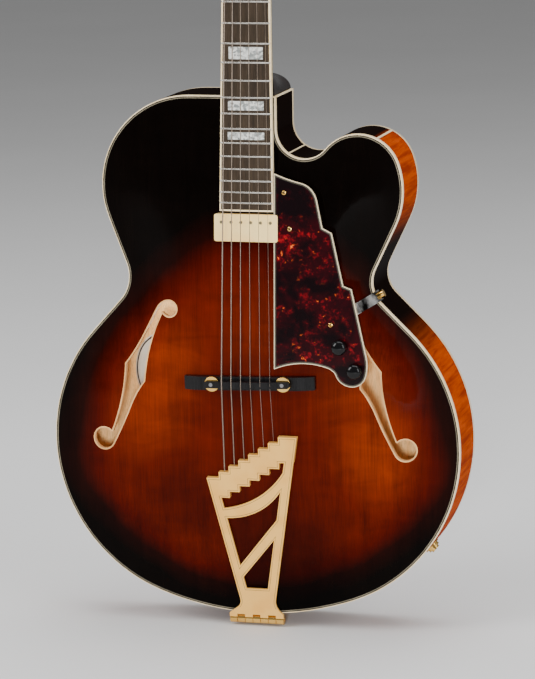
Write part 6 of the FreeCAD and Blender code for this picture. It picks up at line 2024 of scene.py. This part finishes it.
@dataclass
class Fittings:
    """Jack, end pin, small screws and leads."""

    layout: Layout
    setter: SetInPlace
    pole_across: float = 3.2
    slot_width: float = 0.6
    slot_length: float = 3.0
    slot_depth: float = 0.2
    slot_turn: float = 2.4
    slot_tilt: float = 0.3
    cap_depth: float = 0.1
    screw_least: float = 1.4
    proud: float = 0.03
    nut_length: float = 5.0
    nut_teeth: int = 22
    tooth_margin: float = 0.8
    lead: float = 2.4
    lead_depth: float = 7.5

    def build(self) -> None:
        """Dresses the small fittings."""
        dress(GOLD, "output_jack", "end_pin", "gold_screws")
        self.slots()
        dress(RUBBER, "wiring")
        self.lay_lead("pickup_lead", self.pickup_route())
        self.lay_lead("jack_lead", self.jack_route())

    def pickup_route(self) -> list[Vector]:
        """The pickup's lead under the guard, to the volume control."""
        points = ((33.3, 149.2), (45.3, 145.2), (76.9, 75.0), (90.9, 39.0))
        guard = self.layout.guard_frame
        return [guard @ (Vector((across, self.lead_depth, up)) * MM) for across, up in points]

    def jack_route(self) -> list[Vector]:
        """The lead from the tone control through the sound hole to the jack."""
        tone_pot = self.layout.guard_frame @ (Vector((114.6, 10.5, 15.2)) * MM)
        bridge = self.layout.bridge_height
        mouth = -43.0
        inside = (
            (112.5, mouth, bridge + 36.0),
            (119.5, mouth + 16.0, bridge + 35.0),
            (171.2, mouth + 34.0, bridge - 28.0),
            (181.2, 0.0, bridge - 92.0),
            (146.9, 0.0, 97.3),
            (162.5, 0.0, 84.8),
        )
        return [tone_pot, tone_pot + Vector((1, 5, 12)) * MM] + [Vector(point) * MM for point in inside]

    def lay_lead(self, name: str, route: list[Vector]) -> None:
        """A round lead along a route.

        Args:
            name: The lead's name.
            route: Its points in metres.
        """
        line = route_line(name + "_line", route)
        curve = route_curve(name, route)
        curve.bevel_depth = self.lead / 2 * MM
        curve.bevel_resolution = 4
        curve.use_fill_caps = True
        curve.materials.append(RUBBER.material())
        piece = linked(name, curve)
        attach(piece, Body.GUITAR.value)
        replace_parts(piece, "wiring")

    def crowns(self) -> list[tuple[Vector, Vector, float]]:
        """Middle of the crown, direction and width of each small screw and pole."""
        build = merged_copy("gold_screws")
        crowns = []
        for part in loose_parts(build):
            areas: dict[tuple[float, ...], float] = {}
            for face in {face for vertex in part for face in vertex.link_faces}:
                key = tuple(round(value, 3) for value in face.normal)
                areas[key] = areas.get(key, 0.0) + face.calc_area()
            facing = Vector(max(areas, key=lambda key: areas[key])).normalized()
            outward = facing.y if abs(facing.y) > 0.5 else facing.z
            if outward > 0:
                facing = -facing
            middle = sum((vertex.co for vertex in part), Vector()) / len(part)
            offsets = [vertex.co - middle for vertex in part]
            top = max(offset.dot(facing) for offset in offsets)
            width = max((offset - facing * offset.dot(facing)).length for offset in offsets)
            crowns.append((middle + facing * top, facing, 2 * width / MM))
        build.free()
        return crowns

    def slots(self) -> None:
        """Dark bars of painted shade for the driver slots in the screws, a knurl on the thumb nut and a
        plated cap on each pole.
        """
        slots = []
        caps = []
        teeth = []
        for number, (crown, facing, width) in enumerate(self.crowns()):
            if width < self.screw_least * self.slot_length:
                caps.append((crown, facing, Vector((1, 0, 0))))
            elif abs(facing.x) < 0.5:
                turn = self.slot_turn * number
                slots.append((crown, facing, Vector((math.cos(turn), self.slot_tilt, math.sin(turn)))))
            else:
                middle = crown - facing * (self.nut_length / 2 * MM)
                teeth += knurl_seats(middle, facing, width / 2 * MM, self.nut_teeth)
        size = (self.slot_length, self.slot_width, self.slot_depth)
        # Each slot is a dark bar of painted shade on the crown, not a cut groove.
        bar = block_mesh("slot", size, self.proud - self.slot_depth)
        cap = disc_mesh("cap", self.pole_across / 2, self.cap_depth, self.proud - self.cap_depth)
        tooth = knurl_tooth(self.nut_length - self.tooth_margin)
        for name, seats, pattern, finish in (
            ("thumb_nut_knurl", teeth, tooth, GOLD),
            ("driver_slots", slots, bar, SLOT_SHADE),
            ("pole_caps", caps, cap, POLE),
        ):
            new_piece(name, self.setter.mesh(name, seats, pattern, finish), finish, Body.GUITAR)


@dataclass
class Studio:
    """Pale floor, soft lights and the camera at the photograph's place."""

    azimuth: float = 14.98
    elevation: float = 10.70
    roll: float = -0.88
    distance: float = 3.5
    target: tuple[float, float, float] = (0.0153, -0.038, 0.2907)
    focal_pixels: float = 3412.7
    sensor: float = 36.0
    floor_reach: float = 14.0
    floor_gap: float = 0.0002
    ambient: float = 0.25
    lamp_place: tuple[float, float, float] = (0.105, 0.004, 0.30)
    lamp_power: float = 0.05
    lamp_size: float = 0.02

    def build(self) -> None:
        """Sets up floor, lights and camera."""
        self.floor()
        self.world()
        aim = Vector((0.0, 0.0, 0.32))
        back = Vector((0.0, 0.9, 0.0))
        self.light("key_softbox", Vector((-1.9, -1.5, 1.7)), aim, width=1.3, height=1.6, power=54.0)
        self.light("fill_softbox", Vector((2.2, -1.3, 1.2)), aim, width=1.2, height=1.8, power=36.0)
        self.light("top_softbox", Vector((0.2, 0.5, 2.6)), back, width=2.6, height=2.6, power=70.0)
        front = Vector((0.70, -3.31, 0.63))
        self.light("front_softbox", front, aim, width=0.3, height=0.3, power=95.0, mirrored=False)
        across, depth, up = self.lamp_place
        for side in (-1, 1):
            self.inside_lamp(f"inside_lamp_{side + 1}", Vector((side * across, depth, up)))
        self.camera()

    def inside_lamp(self, name: str, place: Vector) -> None:
        """A small lamp in the sound box, as a photographer lights its inside.

        Args:
            name: The lamp's name.
            place: Where it hangs.
        """
        lamp = bpy.data.lights.new(name, "POINT")
        lamp.energy = self.lamp_power
        lamp.shadow_soft_size = self.lamp_size
        holder = linked(name, lamp)
        holder.location = place
        holder.visible_camera = False

    def floor(self) -> None:
        """A wide pale floor under the guitar."""
        low = CAD_BOX[0][2] - self.floor_gap
        reach = self.floor_reach
        corners = [(-reach, -reach, low), (reach, -reach, low), (reach, reach, low), (-reach, reach, low)]
        mesh = bpy.data.meshes.new("studio_floor")
        mesh.from_pydata(corners, [], [(0, 1, 2, 3)])
        mesh.materials.append(FLOOR.material())
        linked("studio_floor", mesh)

    def world(self) -> None:
        """Even light from all round."""
        world = bpy.data.worlds.new("studio")
        world.use_nodes = True
        world.node_tree.nodes.clear()
        graph = Graph(world.node_tree)
        white = (1.0, 1.0, 1.0, 1.0)
        light = graph.node("ShaderNodeBackground", inputs={"Color": white, "Strength": self.ambient})
        graph.node("ShaderNodeOutputWorld", inputs={"Surface": light.outputs[0]})
        bpy.context.scene.world = world

    @staticmethod
    def light(
        name: str,
        place: Vector,
        aim: Vector,
        width: float,
        height: float,
        power: float,
        mirrored: bool = True,
    ) -> None:
        """A rectangular softbox.

        Args:
            name: The light's name.
            place: Where it stands.
            aim: What it points at.
            width: Its width in metres.
            height: Its height in metres.
            power: Its power in watts.
            mirrored: False for a light behind a polarising sheet, which glossy surfaces do not mirror.
        """
        lamp = bpy.data.lights.new(name, "AREA")
        lamp.shape = "RECTANGLE"
        lamp.size = width
        lamp.size_y = height
        lamp.energy = power
        holder = linked(name, lamp)
        holder.location = place
        holder.rotation_euler = (aim - place).to_track_quat("-Z", "Y").to_euler()
        holder.visible_glossy = mirrored

    def camera(self) -> None:
        """The camera where the photograph was taken from."""
        turn = math.radians(self.azimuth)
        lift = math.radians(self.elevation)
        lean = math.radians(self.roll)
        back = Vector((math.sin(turn) * math.cos(lift), -math.cos(turn) * math.cos(lift), math.sin(lift)))
        right = (-back).cross(Vector((0, 0, 1))).normalized()
        up = right.cross(-back)
        across = right * math.cos(lean) + up * math.sin(lean)
        upright = up * math.cos(lean) - right * math.sin(lean)
        place = Vector(self.target) + back * self.distance
        made = bpy.data.cameras.new("photo_camera")
        made.sensor_fit = "VERTICAL"
        made.sensor_height = self.sensor
        made.lens = self.focal_pixels * self.sensor / IMAGE_HEIGHT
        made.clip_end = 100.0
        holder = linked("photo_camera", made)
        rows = Matrix((across, upright, back)).transposed().to_4x4()
        holder.matrix_world = Matrix.Translation(place) @ rows
        bpy.context.scene.camera = holder


def main() -> None:
    """Builds every sub-assembly, then the studio."""
    logging.basicConfig(level=logging.INFO, format="%(name)s: %(message)s")
    layout = Layout()
    sweep = SweptRun()
    setter = SetInPlace()
    parts = [
        SoundBox(layout),
        NeckAndBoard(layout, sweep),
        Headstock(),
        Strings(layout, sweep),
        Bridge(setter),
        Tailpiece(layout),
        GuardAndControls(layout),
        Pickup(),
        Fittings(layout, setter),
    ]
    for part in parts:
        part.build()
    Studio().build()


if __name__ == "__main__":
    main()
